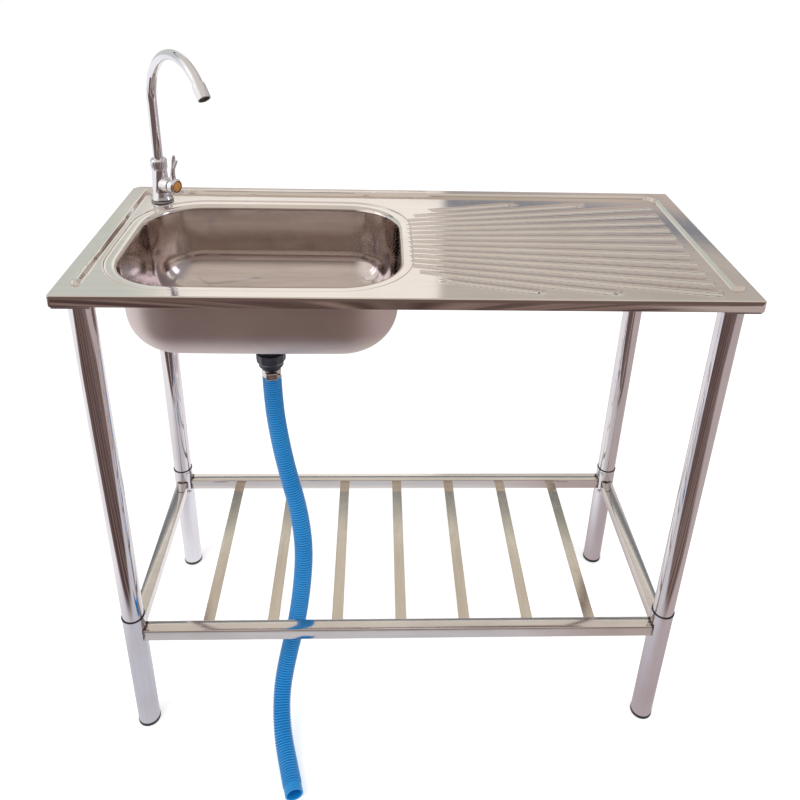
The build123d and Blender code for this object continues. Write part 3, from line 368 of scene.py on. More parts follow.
def make_floor():
    """Pale seamless floor: near white to the camera, with the object's shadow kept.

    Metal mirrors it as paper round the object, shaded before the object's left half and pink at
    the right. Past the paper's front edge it is a dark brown floor, with streaks that run away
    from the object and fade with distance. The brown ends at a slanting edge on either side, and
    far from the object it goes on to the left as far as a second slanting edge.
    """
    material, n, shader, place = new_material("floor_paper", roughness=0.9)
    white = n.mix(n.noise(place, 3.0), srgb(252, 252, 252), srgb(250, 250, 250))
    n.fill(shader, Base_Color=white, Specular_IOR_Level=0.0)
    x, y, _ = n.split(place)
    paper = n.mix(n.step(x, *PAPER_LEFT), PAPER_WHITE, PAPER_SHADE)
    paper = n.mix(n.step(y, *PAPER_BACK), paper, PAPER_WHITE)
    paper = n.mix(n.step(x, *PAPER_RIGHT), paper, PAPER_PINK)
    forward = n.product(y, -1.0)
    left_edge = n.math("ADD", x, n.product(forward, LEFT_SLANT))
    past_corner = n.math("MAXIMUM", n.math("SUBTRACT", forward, RIGHT_CORNER), 0.0)
    right_edge = n.math("SUBTRACT", x, n.product(past_corner, RIGHT_SLANT))
    far = n.step(n.vector("LENGTH", n.vector("SUBTRACT", place, FAR_CENTRE)), *FAR_REACH)
    far = n.product(far, n.step(left_edge, *FAR_LEFT))
    left_share = n.math("MAXIMUM", n.step(left_edge, *BROWN_LEFT), far)
    right_share = n.math("SUBTRACT", 1.0, n.step(right_edge, *BROWN_RIGHT))
    dark = n.product(n.step(forward, *PAPER_FRONT), left_share, right_share)
    spoke = n.vector("NORMALIZE", n.vector("ADD", place, STREAK_FOCUS))
    streak = n.step(n.noise(spoke, 9.0, 2.0, 0.6), *STREAK_RANGE)
    streak = n.product(n.math("SUBTRACT", streak, STREAK_MEAN), n.step(forward, *STREAK_FADE))
    brown = n.mix(n.math("ADD", STREAK_MEAN, streak), ROOM_DARK, ROOM_LIGHT)
    rays = n.add("LightPath").outputs
    glow = n.add("Emission", Color=WHITE, Strength=n.product(rays["Is Camera Ray"], FLOOR_GLOW))
    lit = n.add("AddShader")
    n.feed(lit.inputs[0], shader.outputs[0])
    n.feed(lit.inputs[1], glow.outputs[0])
    image = n.add("Emission", Color=n.mix(dark, paper, brown), Strength=1.0)
    both = n.blend(rays["Is Glossy Ray"], lit, image)
    n.fill(n.tree.nodes["Material Output"], Surface=both.outputs[0])
    corners = [(-FLOOR_HALF, -FLOOR_HALF, 0), (FLOOR_HALF, -FLOOR_HALF, 0),
               (FLOOR_HALF, FLOOR_HALF, 0), (-FLOOR_HALF, FLOOR_HALF, 0)]
    mesh = bpy.data.meshes.new("studio_floor")
    mesh.from_pydata(corners, [], [(0, 1, 2, 3)])
    mesh.materials.append(material)
    floor = bpy.data.objects.new("studio_floor", mesh)
    scene.collection.objects.link(floor)


# ------------------------------------------------------------------ shapes
# A shape is a pair: an (n, 3) array of points in millimetres, and the faces between them.
def sheet(grid, flip=False, wrap_rows=False, wrap_columns=True):
    """Quads of a grid of points stored row by row; a wrapped direction closes on itself."""
    rows, columns = grid.shape[:2]
    row = np.arange(rows if wrap_rows else rows - 1)
    column = np.arange(columns if wrap_columns else columns - 1)
    r, c = np.meshgrid(row, column, indexing="ij")
    r2, c2 = (r + 1) % rows, (c + 1) % columns
    quads = np.stack([r * columns + c, r * columns + c2, r2 * columns + c2, r2 * columns + c], -1)
    quads = quads.reshape(-1, 4)
    return grid.reshape(-1, 3), quads[:, ::-1] if flip else quads


def join(*shapes):
    """One shape from several."""
    points, faces, start = [], [], 0
    for shape_points, shape_faces in shapes:
        points.append(np.asarray(shape_points, dtype=float))
        faces += [tuple(int(i) + start for i in face) for face in shape_faces]
        start += len(shape_points)
    return np.concatenate(points), faces


def merged(shape):
    """Points that fall together become one, and a quad that closes on itself becomes a triangle."""
    points, faces = shape
    kept, place = np.unique(np.round(points, 3), axis=0, return_inverse=True)
    place = place.reshape(-1)
    clean = []
    for face in faces:
        loop = [int(place[i]) for i in face]
        loop = [v for k, v in enumerate(loop) if v != loop[k - 1]]
        if len(loop) > 2:
            clean.append(tuple(loop))
    return kept, clean


def turned_over(shape):
    """The same shape with its faces the other way round."""
    points, faces = shape
    return points, [face[::-1] for face in faces]


def closed(shape, count):
    """Rings of count points with one more face over the first ring and one over the last."""
    points, faces = shape
    ring = np.arange(count)
    return points, [*faces.tolist(), tuple(ring[::-1]), tuple(len(points) - count + ring)]


def add_piece(name, shape, material, body, replaces=(), sharp_angle=38.0):
    """Object at the origin made from a shape; it rides on a body and may stand for CAD nodes."""
    points, faces = shape
    mesh = bpy.data.meshes.new(name)
    places = np.asarray(points, dtype=float) * MM
    mesh.from_pydata(places.tolist(), [], [tuple(int(i) for i in face) for face in faces])
    mesh.validate()
    mesh.shade_smooth()
    mesh.set_sharp_from_angle(angle=radians(sharp_angle))
    mesh.materials.append(material)
    piece = bpy.data.objects.new(name, mesh)
    scene.collection.objects.link(piece)
    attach(piece, body)
    if replaces:
        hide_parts(*replaces)
    return piece


def mark(piece, name, values, domain="POINT"):
    """Store one number per point or per face for a finish to read."""
    layer = piece.data.attributes.new(name, "FLOAT", domain)
    layer.data.foreach_set("value", np.asarray(values, dtype=float))


def turned(profile, segments, centre=(0.0, 0.0), ripple=None):
    """Surface of revolution about a vertical axis.

    Each (radius, height) pair of the closed profile is carried round the axis: x = r cos a,
    y = r sin a. A ripple function may change the radius with angle and height. The profile
    runs up the outside and down the inside.
    """
    profile = np.asarray(profile, dtype=float)
    angle = np.linspace(0.0, 2 * pi, segments, endpoint=False)
    radius = np.repeat(profile[:, :1], segments, 1)
    height = np.repeat(profile[:, 1:], segments, 1)
    if ripple:
        radius = radius + ripple(angle[None, :], height, radius)
    x, y = centre[0] + radius * np.cos(angle), centre[1] + radius * np.sin(angle)
    return sheet(np.stack([x, y, height], -1), wrap_rows=True)


def solid_turned(profile, segments, centre=(0.0, 0.0), ripple=None):
    """Surface of revolution whose profile starts and ends on the axis, closed at both poles."""
    points, faces = turned(profile, segments, centre, ripple)
    return merged((points, faces.reshape(len(profile), segments, 4)[:-1].reshape(-1, 4)))


def rounded(corners, radii, steps=6):
    """Closed outline whose corners are rounded by arcs, each tangent to both of its sides."""
    corners = [np.asarray(p, dtype=float) for p in corners]
    points = []
    for k, corner in enumerate(corners):
        radius = radii[k]
        if radius <= 0:
            points.append(corner)
            continue
        before, after = corners[k - 1] - corner, corners[(k + 1) % len(corners)] - corner
        before, after = before / np.linalg.norm(before), after / np.linalg.norm(after)
        half = np.arccos(np.clip(before @ after, -1, 1)) / 2
        reach = radius / np.tan(half)
        centre = corner + (before + after) / np.linalg.norm(before + after) * radius / np.sin(half)
        first, last = corner + before * reach - centre, corner + after * reach - centre
        sweep = np.arctan2(first[0] * last[1] - first[1] * last[0], first @ last)
        for t in np.linspace(0, 1, steps):
            c, s = np.cos(sweep * t), np.sin(sweep * t)
            points.append(centre + np.array([c * first[0] - s * first[1], s * first[0] + c * first[1]]))
    return np.array(points)


def laid(shape, origin, side, up, along):
    """Turn a shape made about a vertical axis so that its height runs along another direction."""
    points, faces = shape
    return np.asarray(origin, dtype=float) + np.asarray(points) @ np.stack([side, up, along]), faces


def frames_along(path, up):
    """Side and up vectors at each point of a path, carried along with the least turn."""
    tangent = np.gradient(path, axis=0)
    tangent /= np.linalg.norm(tangent, axis=1)[:, None]
    side = np.empty_like(path)
    last = np.cross(up, tangent[0])
    for k, t in enumerate(tangent):
        last = last - (last @ t) * t
        last = last / np.linalg.norm(last)
        side[k] = last
    return side, np.cross(tangent, side)


def tube(path, radii, segments, up=(1.0, 0.0, 0.0), flatten=1.0):
    """Rings carried along a path: centre + r (side cos a + flatten up sin a)."""
    side, upward = frames_along(path, np.asarray(up, dtype=float))
    angle = np.linspace(0.0, 2 * pi, segments, endpoint=False)
    radius, squeeze = (np.broadcast_to(value, len(path))[:, None, None] for value in (radii, flatten))
    across = side[:, None] * np.cos(angle)[None, :, None]
    upright = upward[:, None] * (np.sin(angle)[None, :, None] * squeeze)
    return sheet(path[:, None] + (across + upright) * radius)


def pipe(path, outer, inner, segments):
    """Tube with a bore: an outer and an inner surface joined by a ring at each end."""
    skin, faces = tube(path, outer, segments)
    bore, bore_faces = tube(path, inner, segments)
    start = len(skin)
    near = np.arange(segments)
    turn = np.roll(near, -1)
    far = start - segments + near
    first = np.stack([near + start, turn + start, turn, near], -1)
    last = np.stack([far, far[turn], far[turn] + start, far + start], -1)
    return np.concatenate([skin, bore]), np.concatenate([faces, bore_faces[:, ::-1] + start, first, last])


def pairs(x, y):
    """Flat points from their x and y, either of which may be one number for all."""
    return np.stack(np.broadcast_arrays(x, y), -1)


def lifted(plan, level):
    """Flat points or directions with one third number for all."""
    return np.column_stack([plan, np.full(len(plan), float(level))])


def smooth(t):
    """Smooth step from 0 to 1."""
    t = np.clip(t, 0.0, 1.0)
    return t * t * (3 - 2 * t)


def smoother(t):
    """Smooth step from 0 to 1 with no curvature at its ends."""
    t = np.clip(t, 0.0, 1.0)
    return t ** 3 * (t * (6 * t - 15) + 10)


# ------------------------------------------------------------------ pressed top, sizes in mm
LEVEL = 900.0
SHEET = 0.8
HALF_X, HALF_Y = box_mm("sink_deck")[1][:2]
APRON = 18.0
NOSE = 2.0
CORNER = 3.0
BACK_LEFT_CLIP = 10.0
HEM = 20.0

BOWL_CENTRE = np.array([-226.0, -24.0])
BOWL_HALF = np.array([212.0, 156.0])
BOWL_CORNER = 90.0
BOWL_BOW = 3.0
RIM_STEP = 21.0
RIM_RUN = 2.2
RIM_DEPTH = 1.8
ROLL = 8.0
NECK = LEVEL - RIM_DEPTH - ROLL

BEAD_HEIGHT = 6.0
BEAD_SLOPE = 4.0
BEAD_OUTER = ((-480.5, -400.0), (483.0, 203.0), (20.0, 40.0))
BEAD_INNER = ((-465.5, -400.0), (463.0, 183.0), (5.0, 20.0))
BEAD_LEFT_END, BEAD_END_RADIUS = (-473.0, -179.5), 7.5
BEAD_RIGHT_END = -187.0

RIB_COUNT = 15
RIB_STEP = 0.0355
RIB_TILT = -0.009
RIB_FOCUS = np.array([-500.0, -18.0])
RIB_START, RIB_END = 3.0, 446.0
RIB_BACK, RIB_FRONT = 151.0, -197.0
RIB_SETBACK = 42.0
RIB_HEIGHT = 1.8
RIB_HALF = (5.0, 10.5)


def bowl_sides():
    """Four chains of arcs round the opening, each from one corner's middle to the next."""
    a, b = BOWL_HALF
    side_radius = ((b - BOWL_BOW) ** 2 + BOWL_BOW ** 2) / (2 * BOWL_BOW)
    back_radius = ((a - BOWL_BOW) ** 2 + BOWL_BOW ** 2) / (2 * BOWL_BOW)
    side_centre = np.array([a - side_radius, 0.0])
    back_centre = np.array([0.0, b - back_radius])
    gap = back_centre - side_centre
    reach = np.linalg.norm(gap)
    gap = gap / reach
    from_side, from_back = side_radius - BOWL_CORNER, back_radius - BOWL_CORNER
    along = (reach ** 2 + from_side ** 2 - from_back ** 2) / (2 * reach)
    height = np.sqrt(from_side ** 2 - along ** 2)
    corner = side_centre + gap * along + np.array([-gap[1], gap[0]]) * height
    t1 = np.arctan2(*(corner - side_centre)[::-1])
    t2 = np.arctan2(*(corner - back_centre)[::-1])
    mid = (t1 + t2) / 2
    r = BOWL_CORNER
    right = [(corner * (1, -1), r, -mid, -t1), (side_centre, side_radius, -t1, t1), (corner, r, t1, mid)]
    back = [(corner, r, mid, t2), (back_centre, back_radius, t2, pi - t2),
            (corner * (-1, 1), r, pi - t2, pi - mid)]
    left, front = ([(-centre, radius, pi + start, pi + end) for centre, radius, start, end in chain]
                   for chain in (right, back))
    return right, back, left, front


def along_arcs(arcs, shares):
    """Points and outward normals at shares of the length of a chain of arcs."""
    lengths = np.array([radius * (end - start) for _, radius, start, end in arcs])
    knots = np.r_[0.0, np.cumsum(lengths)] / lengths.sum()
    which = np.clip(np.searchsorted(knots, shares, side="right") - 1, 0, len(arcs) - 1)
    centre, radius, start, end = (np.array(part)[which] for part in zip(*arcs))
    t = (shares - knots[which]) / (knots[which + 1] - knots[which])
    angle = start + (end - start) * t
    normal = np.stack([np.cos(angle), np.sin(angle)], -1)
    return BOWL_CENTRE + centre + normal * radius[:, None], normal


def soft_box(x, y, low, high, radii):
    """Signed distance to a rectangle with rounded back corners; radii are left and right."""
    cx, cy = (low[0] + high[0]) / 2, (low[1] + high[1]) / 2
    radius = np.where(y > cy, np.where(x < cx, radii[0], radii[1]), 0.5)
    qx = np.abs(x - cx) - (high[0] - low[0]) / 2 + radius
    qy = np.abs(y - cy) - (high[1] - low[1]) / 2 + radius
    return np.minimum(np.maximum(qx, qy), 0) + np.hypot(np.maximum(qx, 0), np.maximum(qy, 0)) - radius


def bead_height(x, y):
    """Raised border, open to the front: the band between two rounded boxes, with sloping sides."""
    outer = soft_box(x, y, *BEAD_OUTER)
    inner = soft_box(x, y, *BEAD_INNER)
    end_x, end_y = BEAD_LEFT_END
    left_end = np.where(y > end_y, -99.0, np.hypot(x - end_x, y - end_y) - BEAD_END_RADIUS)
    end = np.where(x < 0, left_end, BEAD_RIGHT_END - y)
    band = np.maximum(np.maximum(outer, -inner), end)
    return BEAD_HEIGHT * smoother(-band / BEAD_SLOPE)


def rib_line(index):
    """Start and end of one rib of the fan, on a line through its focus."""
    middle = (RIB_COUNT - 1) / 2
    slope = np.tan(RIB_TILT + (middle - index) * RIB_STEP)
    outermost = max(0.0, abs(index - middle) - middle + 2) / 2
    start_x = RIB_START + RIB_SETBACK * outermost ** 2
    edge = RIB_BACK if slope > 0 else RIB_FRONT
    end_x = min(RIB_END, RIB_FOCUS[0] + (edge - RIB_FOCUS[1]) / slope)
    start = np.array([start_x, RIB_FOCUS[1] + (start_x - RIB_FOCUS[0]) * slope])
    end = np.array([end_x, RIB_FOCUS[1] + (end_x - RIB_FOCUS[0]) * slope])
    return start, end


def rib_height(x, y):
    """Fan of ribs: each widens along its line, with a round back, a soft nose and a blunt end."""
    total = np.zeros_like(x)
    for index in range(RIB_COUNT):
        start, end = rib_line(index)
        run = np.linalg.norm(end - start)
        ux, uy = (end - start) / run
        along = (x - start[0]) * ux + (y - start[1]) * uy
        across = (y - start[1]) * ux - (x - start[0]) * uy
        half = RIB_HALF[0] + (RIB_HALF[1] - RIB_HALF[0]) * np.clip(along, 0, run) / (RIB_END - RIB_START)
        back = np.clip(1 - np.abs(across / half) ** 3, 0, 1) ** 1.5
        nose = np.sqrt(np.clip(1 - np.clip(1 - along / 8.0, 0, 1) ** 2, 0, 1)) * (along > 0)
        total = np.maximum(total, RIB_HEIGHT * back * nose * smooth((run - along) / 2.2))
    return total


def relief(x, y):
    """Height of bead and ribs over the flat top."""
    return bead_height(x, y) + rib_height(x, y)


def dense_line(start, *spans):
    """Ascending numbers from start on; each span is (end, step)."""
    parts = []
    for end, step in spans:
        parts.append(np.linspace(start, end, max(2, int(round((end - start) / step)) + 1))[:-1])
        start = end
    return np.r_[np.concatenate(parts), start]


def trim(points, inset):
    """Round three corners of the inset rectangle and cut the back left one off square."""
    x, y = points[:, 0].copy(), points[:, 1].copy()
    edge_x, edge_y = HALF_X - inset, HALF_Y - inset
    radius = max(CORNER - inset, 0.2)
    for side_x, side_y in ((1, 1), (1, -1), (-1, -1)):
        dx, dy = side_x * x - edge_x + radius, side_y * y - edge_y + radius
        hit = (dx > 0) & (dy > 0)
        length = np.where(hit, np.hypot(dx, dy), 1.0)
        x = np.where(hit, side_x * (edge_x - radius + dx / length * radius), x)
        y = np.where(hit, side_y * (edge_y - radius + dy / length * radius), y)
    clip = max(BACK_LEFT_CLIP - (2 - 2 ** 0.5) * inset, 0.0)
    excess = np.maximum(y - x - (edge_x + edge_y - clip), 0.0)
    return np.stack([x + excess / 2, y - excess / 2], -1)


def top_patches():
    """The top's upper face as two patches of points with the offset direction at each point.

    Patch one is rings round the bowl's opening: down the rolled edge, the flat of the rim, the
    step, and then out to a rectangle. Patch two is a plain grid over the drainer. A patch is its
    flat points, its level and its offset directions before the relief. The last value is the
    line round both patches, where the apron starts.
    """
    edge_x, edge_y = HALF_X - NOSE, HALF_Y - NOSE
    split = 40.0
    rows = dense_line(-edge_y, (-edge_y + 3, 1), (-199, 3), (156, 2.3), (181, 3), (205, 1.5),
                      (edge_y - 3, 3), (edge_y, 1))
    left_rows = dense_line(-edge_y, (-edge_y + 3, 1), (-192, 4), (-176, 2), (170, 8), (206, 2), (edge_y, 1.5))
    columns = dense_line(-edge_x, (-edge_x + 12, 1.5), (-450, 2.5), (split, 7))
    wide = dense_line(split, (440, 8), (452, 0.8), (460, 2.5), (486, 1.4), (edge_x - 3, 3), (edge_x, 1))
    back, left, front = (pairs(columns[::-1], edge_y), pairs(-edge_x, left_rows[::-1]),
                         pairs(columns, -edge_y))
    loop, normal, frame_points = [], [], []
    for chain, edge in zip(bowl_sides(), (pairs(split, rows), back, left, front)):
        run = np.abs(edge - edge[0]).sum(1)
        at, out = along_arcs(chain, run[:-1] / run[-1])
        loop.append(at)
        normal.append(out)
        frame_points.append(edge[:-1])
    loop, normal, frame_points = (np.concatenate(v) for v in (loop, normal, frame_points))
    outline = trim(frame_points, NOSE)
    inner_edge = np.abs(frame_points[:, 0] - split) < 1e-6
    outline[inner_edge] = frame_points[inner_edge]

    rings = []
    for turn in np.linspace(pi / 2, 0, 9):
        out_by, down = ROLL * (1 - sin(turn)), ROLL * (1 - cos(turn))
        tilt = lifted(-normal * sin(turn), cos(turn))
        rings.append((loop + normal * out_by, LEVEL - RIM_DEPTH - down, tilt))
    for out_by in np.r_[12.0, 16.0, np.linspace(RIM_STEP - RIM_RUN, RIM_STEP, 7)]:
        t = (out_by - RIM_STEP + RIM_RUN) / RIM_RUN
        slope = RIM_DEPTH / RIM_RUN * (6 * t * (1 - t) if 0 < t < 1 else 0.0)
        tilt = lifted(-normal * slope, 1.0)
        rings.append((loop + normal * out_by, LEVEL - RIM_DEPTH + RIM_DEPTH * float(smooth(t)), tilt))
    start = loop + normal * RIM_STEP
    for share in np.linspace(0, 1, 40)[1:]:
        rings.append((start * (1 - share) + outline * share, LEVEL, lifted(np.zeros_like(loop), 1.0)))
    flat, height, tilt = (np.stack(part) for part in zip(*rings))

    grid_x, grid_y = np.meshgrid(wide, rows)
    plan = np.stack([grid_x, grid_y], -1)
    rim = (np.abs(grid_x - edge_x) < 1e-6) | (np.abs(np.abs(grid_y) - edge_y) < 1e-6)
    plan[rim] = trim(plan[rim], NOSE)
    upright = np.broadcast_to((0.0, 0.0, 1.0), (*grid_x.shape, 3))
    round_line = (pairs(edge_x, rows), pairs(wide[::-1], edge_y), back, left, front, pairs(wide, -edge_y))
    perimeter = np.concatenate([side[:-1] for side in round_line])
    return (flat, height[:, None], tilt), (plan, LEVEL, upright), perimeter


def raised(plan, height, tilt):
    """Points on the relief and the unit direction square to it."""
    x, y = plan[..., 0], plan[..., 1]
    step = 0.15
    slope_x = (relief(x + step, y) - relief(x - step, y)) / (2 * step)
    slope_y = (relief(x, y + step) - relief(x, y - step)) / (2 * step)
    on_roll = tilt[..., 2] > 0.5
    out = np.array(tilt, dtype=float)
    out[..., 0] -= slope_x * on_roll
    out[..., 1] -= slope_y * on_roll
    out /= np.linalg.norm(out, axis=-1, keepdims=True)
    return np.stack([x, y, height + relief(x, y)], -1), out


def make_top(material):
    """Pressed top as one closed shell: upper face, underside one sheet lower, apron and hem."""
    rings, grid, perimeter = top_patches()
    shapes = []
    for patch, is_ring in ((rings, True), (grid, False)):
        over, out = raised(*patch)
        under = over - out * SHEET
        shapes.append(sheet(over, flip=is_ring, wrap_columns=is_ring))
        shapes.append(sheet(under, flip=not is_ring, wrap_columns=is_ring))
        if is_ring:
            shapes.append(sheet(np.stack([over[0], under[0]])))
    foot = LEVEL - APRON
    turn = np.linspace(0, pi / 2, 6)
    section = [(NOSE * (1 - sin(t)), LEVEL - NOSE * (1 - cos(t))) for t in turn]
    section += [(0.0, foot + 1.0), (0.3, foot + 0.3), (1.0, foot), (SHEET + HEM, foot),
                (SHEET + HEM, foot + SHEET), (2 * SHEET, foot + SHEET), (SHEET, foot + 2 * SHEET)]
    inside = NOSE - SHEET
    section += [(NOSE - inside * sin(t), LEVEL - NOSE + inside * cos(t)) for t in turn[::-1]]
    loops = []
    for inset, level in section:
        grown = perimeter * ((HALF_X - inset) / (HALF_X - NOSE), (HALF_Y - inset) / (HALF_Y - NOSE))
        loops.append(lifted(trim(grown, inset), level))
    shapes.append(sheet(np.stack(loops), flip=True))
    add_piece("pressed_top", merged(join(*shapes)), material, SINK, ["sink_deck"], 42.0)


# ------------------------------------------------------------------ bowl
BOWL_FLOOR = 755.0
BOWL_DRAFT = radians(2.3)
BOWL_FILLET = 66.0
DRAIN = np.array([-228.0, -32.0])
DISH, RECESS, HOLE = 60.0, 40.0, 24.0
DISH_FALL, RECESS_DROP = 5.0, 4.0


def bowl_wall():
    """Side outline of the bowl: drafted wall and floor fillet, as (offset from the rim, height)."""
    drop = NECK - BOWL_FLOOR
    tangent = BOWL_FILLET * np.tan((pi / 2 - BOWL_DRAFT) / 2)
    foot = -drop * np.tan(BOWL_DRAFT)
    start = np.array([foot + tangent * sin(BOWL_DRAFT), BOWL_FLOOR + tangent * cos(BOWL_DRAFT)])
    centre = start + BOWL_FILLET * np.array([-cos(BOWL_DRAFT), sin(BOWL_DRAFT)])
    wall = [np.array([0.0, NECK]) * (1 - t) + start * t for t in np.linspace(0, 1, 8)[:-1]]
    arc = [centre + BOWL_FILLET * np.array([cos(a), sin(a)])
           for a in np.linspace(-BOWL_DRAFT, -pi / 2, 20)]
    return np.array(wall + arc)


def make_bowl(material):
    """Pressed bowl: rings of the rim's outline stepped in down the wall, then rings to the drain."""
    chain = [arc for side in bowl_sides() for arc in side]
    loop, normal = along_arcs(chain, np.linspace(0, 1, 288, endpoint=False))
    wall = bowl_wall()
    slope = np.gradient(wall, axis=0)
    slope /= np.linalg.norm(slope, axis=1)[:, None]
    floor_ring = loop + normal * wall[-1, 0]
    spoke = (floor_ring - DRAIN) / np.linalg.norm(floor_ring - DRAIN, axis=1)[:, None]
    grids = []
    for thick in (0.0, SHEET):
        rings = [lifted(loop + normal * (offset - fall * thick), level + run * thick)
                 for (offset, level), (run, fall) in zip(wall, slope)]
        rings[0][:, 2] = NECK
        for share in np.linspace(0, 1, 9)[1:]:
            spot = floor_ring * (1 - share) + (DRAIN + spoke * DISH) * share
            rings.append(lifted(spot, BOWL_FLOOR - thick))
        for radius, fall in ((DISH - 1.5, 0.15), (DISH - 10.0, DISH_FALL * 0.52),
                             (RECESS + 2.0 + thick, DISH_FALL - 0.3), (RECESS + thick, DISH_FALL + 0.6),
                             (RECESS + thick - 0.6, DISH_FALL + RECESS_DROP),
                             (HOLE, DISH_FALL + RECESS_DROP)):
            rings.append(lifted(DRAIN + spoke * radius, BOWL_FLOOR - fall - thick))
        grids.append(np.stack(rings))
    inside, outside = grids
    shape = merged(join(sheet(inside), sheet(outside, flip=True), sheet(np.stack([outside[0], inside[0]])),
                        sheet(np.stack([inside[-1], outside[-1]]))))
    piece = add_piece("drawn_bowl", shape, material, SINK, ["sink_bowl"], 50.0)
    faces = piece.data.polygons
    centre = np.array([face.center[:2] for face in faces]) / MM - BOWL_CENTRE
    direction = np.array([face.normal[:] for face in faces])
    outward = (centre * direction[:, :2]).sum(1) / np.linalg.norm(centre, axis=1)
    mark(piece, "outside", outward - direction[:, 2] > 0, "FACE")


# ------------------------------------------------------------------ stand
LEG_WALL = 0.9
LOWER_RADIUS = 19.0


def round_node(node):
    """Centre, radius, foot and top of an upright round CAD node, in millimetres."""
    low, high = box_mm(node)
    return (low + high)[:2] / 2, (high[0] - low[0]) / 2, low[2], high[2]


def make_leg(corner, upper_finish, lower_finish, black):
    """Four turned pieces of one leg: bright upper tube, ring, wider lower tube and foot cap."""
    edge = 0.25
    for node, finish, slot in (("upper_leg", upper_finish, "bright_tube"),
                               ("lower_leg", lower_finish, "stand_steel")):
        centre, radius, foot, top = round_node(f"{node}_{corner}")
        profile = [
            (radius - edge, foot), (radius, foot + edge),
            *[(radius, z) for z in np.linspace(foot + 4, top - 4, 12)],
            (radius, top - edge), (radius - edge, top),
            (radius - LEG_WALL, top), (radius - LEG_WALL, foot),
        ]
        add_piece(f"{node}_tube_{corner}", turned(profile, 96, centre), finish, SINK,
                  [f"{node}_{corner}"])
    centre, radius, foot, top = round_node(f"leg_ring_{corner}")
    radius, top = radius - 0.5, top - 0.5
    bore = LOWER_RADIUS - LEG_WALL
    section = rounded([(radius, foot), (radius, top), (bore, top), (bore, foot)], [0.25, 0.5, 0.2, 0.1], 5)
    add_piece(f"joint_ring_{corner}", turned(section, 96, centre), black, SINK,
              [f"leg_ring_{corner}"])
    _, radius, foot, top = round_node(f"foot_{corner}")
    rim = 8.0
    plug = LOWER_RADIUS - LEG_WALL - 0.15
    outline = rounded(
        [(0, foot), (radius - 2.2, foot), (radius, foot + 2.2), (radius, rim), (plug, rim),
         (plug, top), (plug - 1.8, top), (plug - 1.8, rim), (0, rim)],
        [0, 1.2, 1.0, 0.5, 0.1, 0.5, 0.3, 0.3, 0], 5)
    add_piece(f"foot_cap_{corner}", solid_turned(outline, 96, centre), black, SINK,
              [f"foot_{corner}"], 30.0)


def square_outline(half, radius):
    """Rounded square, anticlockwise."""
    return rounded([(half, -half), (half, half), (-half, half), (-half, -half)], [radius] * 4, 5)


def weld_bead(path, radius, pitch=2.6):
    """Rippled bead along a line: a thin tube whose radius swells once a pitch, closed at its ends."""
    step = np.r_[0.0, np.cumsum(np.linalg.norm(np.diff(path, axis=0), axis=1))]
    radii = radius * (1 + 0.16 * np.sin(2 * pi * step / pitch))
    radii[0] = radii[-1] = 0.02
    return closed(tube(path, radii, 10, up=(0.0, 0.0, 1.0)), 10)


def make_rail(node, along, material):
    """Square tube between two legs; both ends follow the legs' round outside."""
    low, high = box_mm(node)
    half = (high[2] - low[2]) / 2
    leg = middle_mm("lower_leg_front_right")
    reach = leg[0] if along == "x" else abs(leg[1])
    radius = LOWER_RADIUS + 0.02
    stations = np.r_[-1.0, np.linspace(-0.96, 0.96, 25), 1.0]

    def coped(section):
        """The outline at each station; its ends stop short of the leg's axis by the leg's circle."""
        cope = reach - np.sqrt(radius ** 2 - section[:, 0] ** 2)
        return np.stack([np.stack([station * cope, *section.T], -1) for station in stations])

    outer, inner = coped(square_outline(half, 1.5)), coped(square_outline(half - 1.0, 0.6))
    shapes = [sheet(outer), sheet(inner, flip=True), sheet(np.stack([inner[0], outer[0]])),
              sheet(np.stack([outer[-1], inner[-1]]))]
    across = np.linspace(-half + 1.0, half - 1.0, 40)
    for side in (-1, 1):
        seam = side * (reach - np.sqrt((radius + 0.35) ** 2 - across ** 2))
        shapes.append(weld_bead(lifted(pairs(seam, across), half + 0.15), 0.75))
    points, faces = join(*shapes)
    if along == "y":
        points, faces = turned_over((points[:, [1, 0, 2]], faces))
    shape = (points + (low + high) / 2, faces)
    add_piece(f"{node}_tube", shape, material, SINK, [node], 40.0)


# ------------------------------------------------------------------ tap
TAP = middle_mm("tap_gasket")[:2]
SPOUT_BEND = 92.0
SPOUT_RISE = 175.0
SPOUT_SWEEP = radians(140.0)
SPOUT_TURN = radians(-49.0)
BARREL_TURN = radians(-31.0)
BARREL_LEVEL = LEVEL + 31.6
BARREL_REACH = 25.0
BARREL_RADIUS = 13.5
HUB_LENGTH = 14.0
HUB_RADIUS = 13.6
DISH_RADIUS = 10.6
TAP_HEIGHT = 58.0
BARREL_ALONG = np.array([cos(BARREL_TURN), sin(BARREL_TURN), 0.0])
BARREL_SIDE = np.array([-sin(BARREL_TURN), cos(BARREL_TURN), 0.0])
UP = np.array([0.0, 0.0, 1.0])


def on_barrel(shape):
    """A shape made about a vertical axis, laid along the barrel: height becomes reach."""
    return laid(shape, (*TAP, BARREL_LEVEL), BARREL_SIDE, UP, BARREL_ALONG)


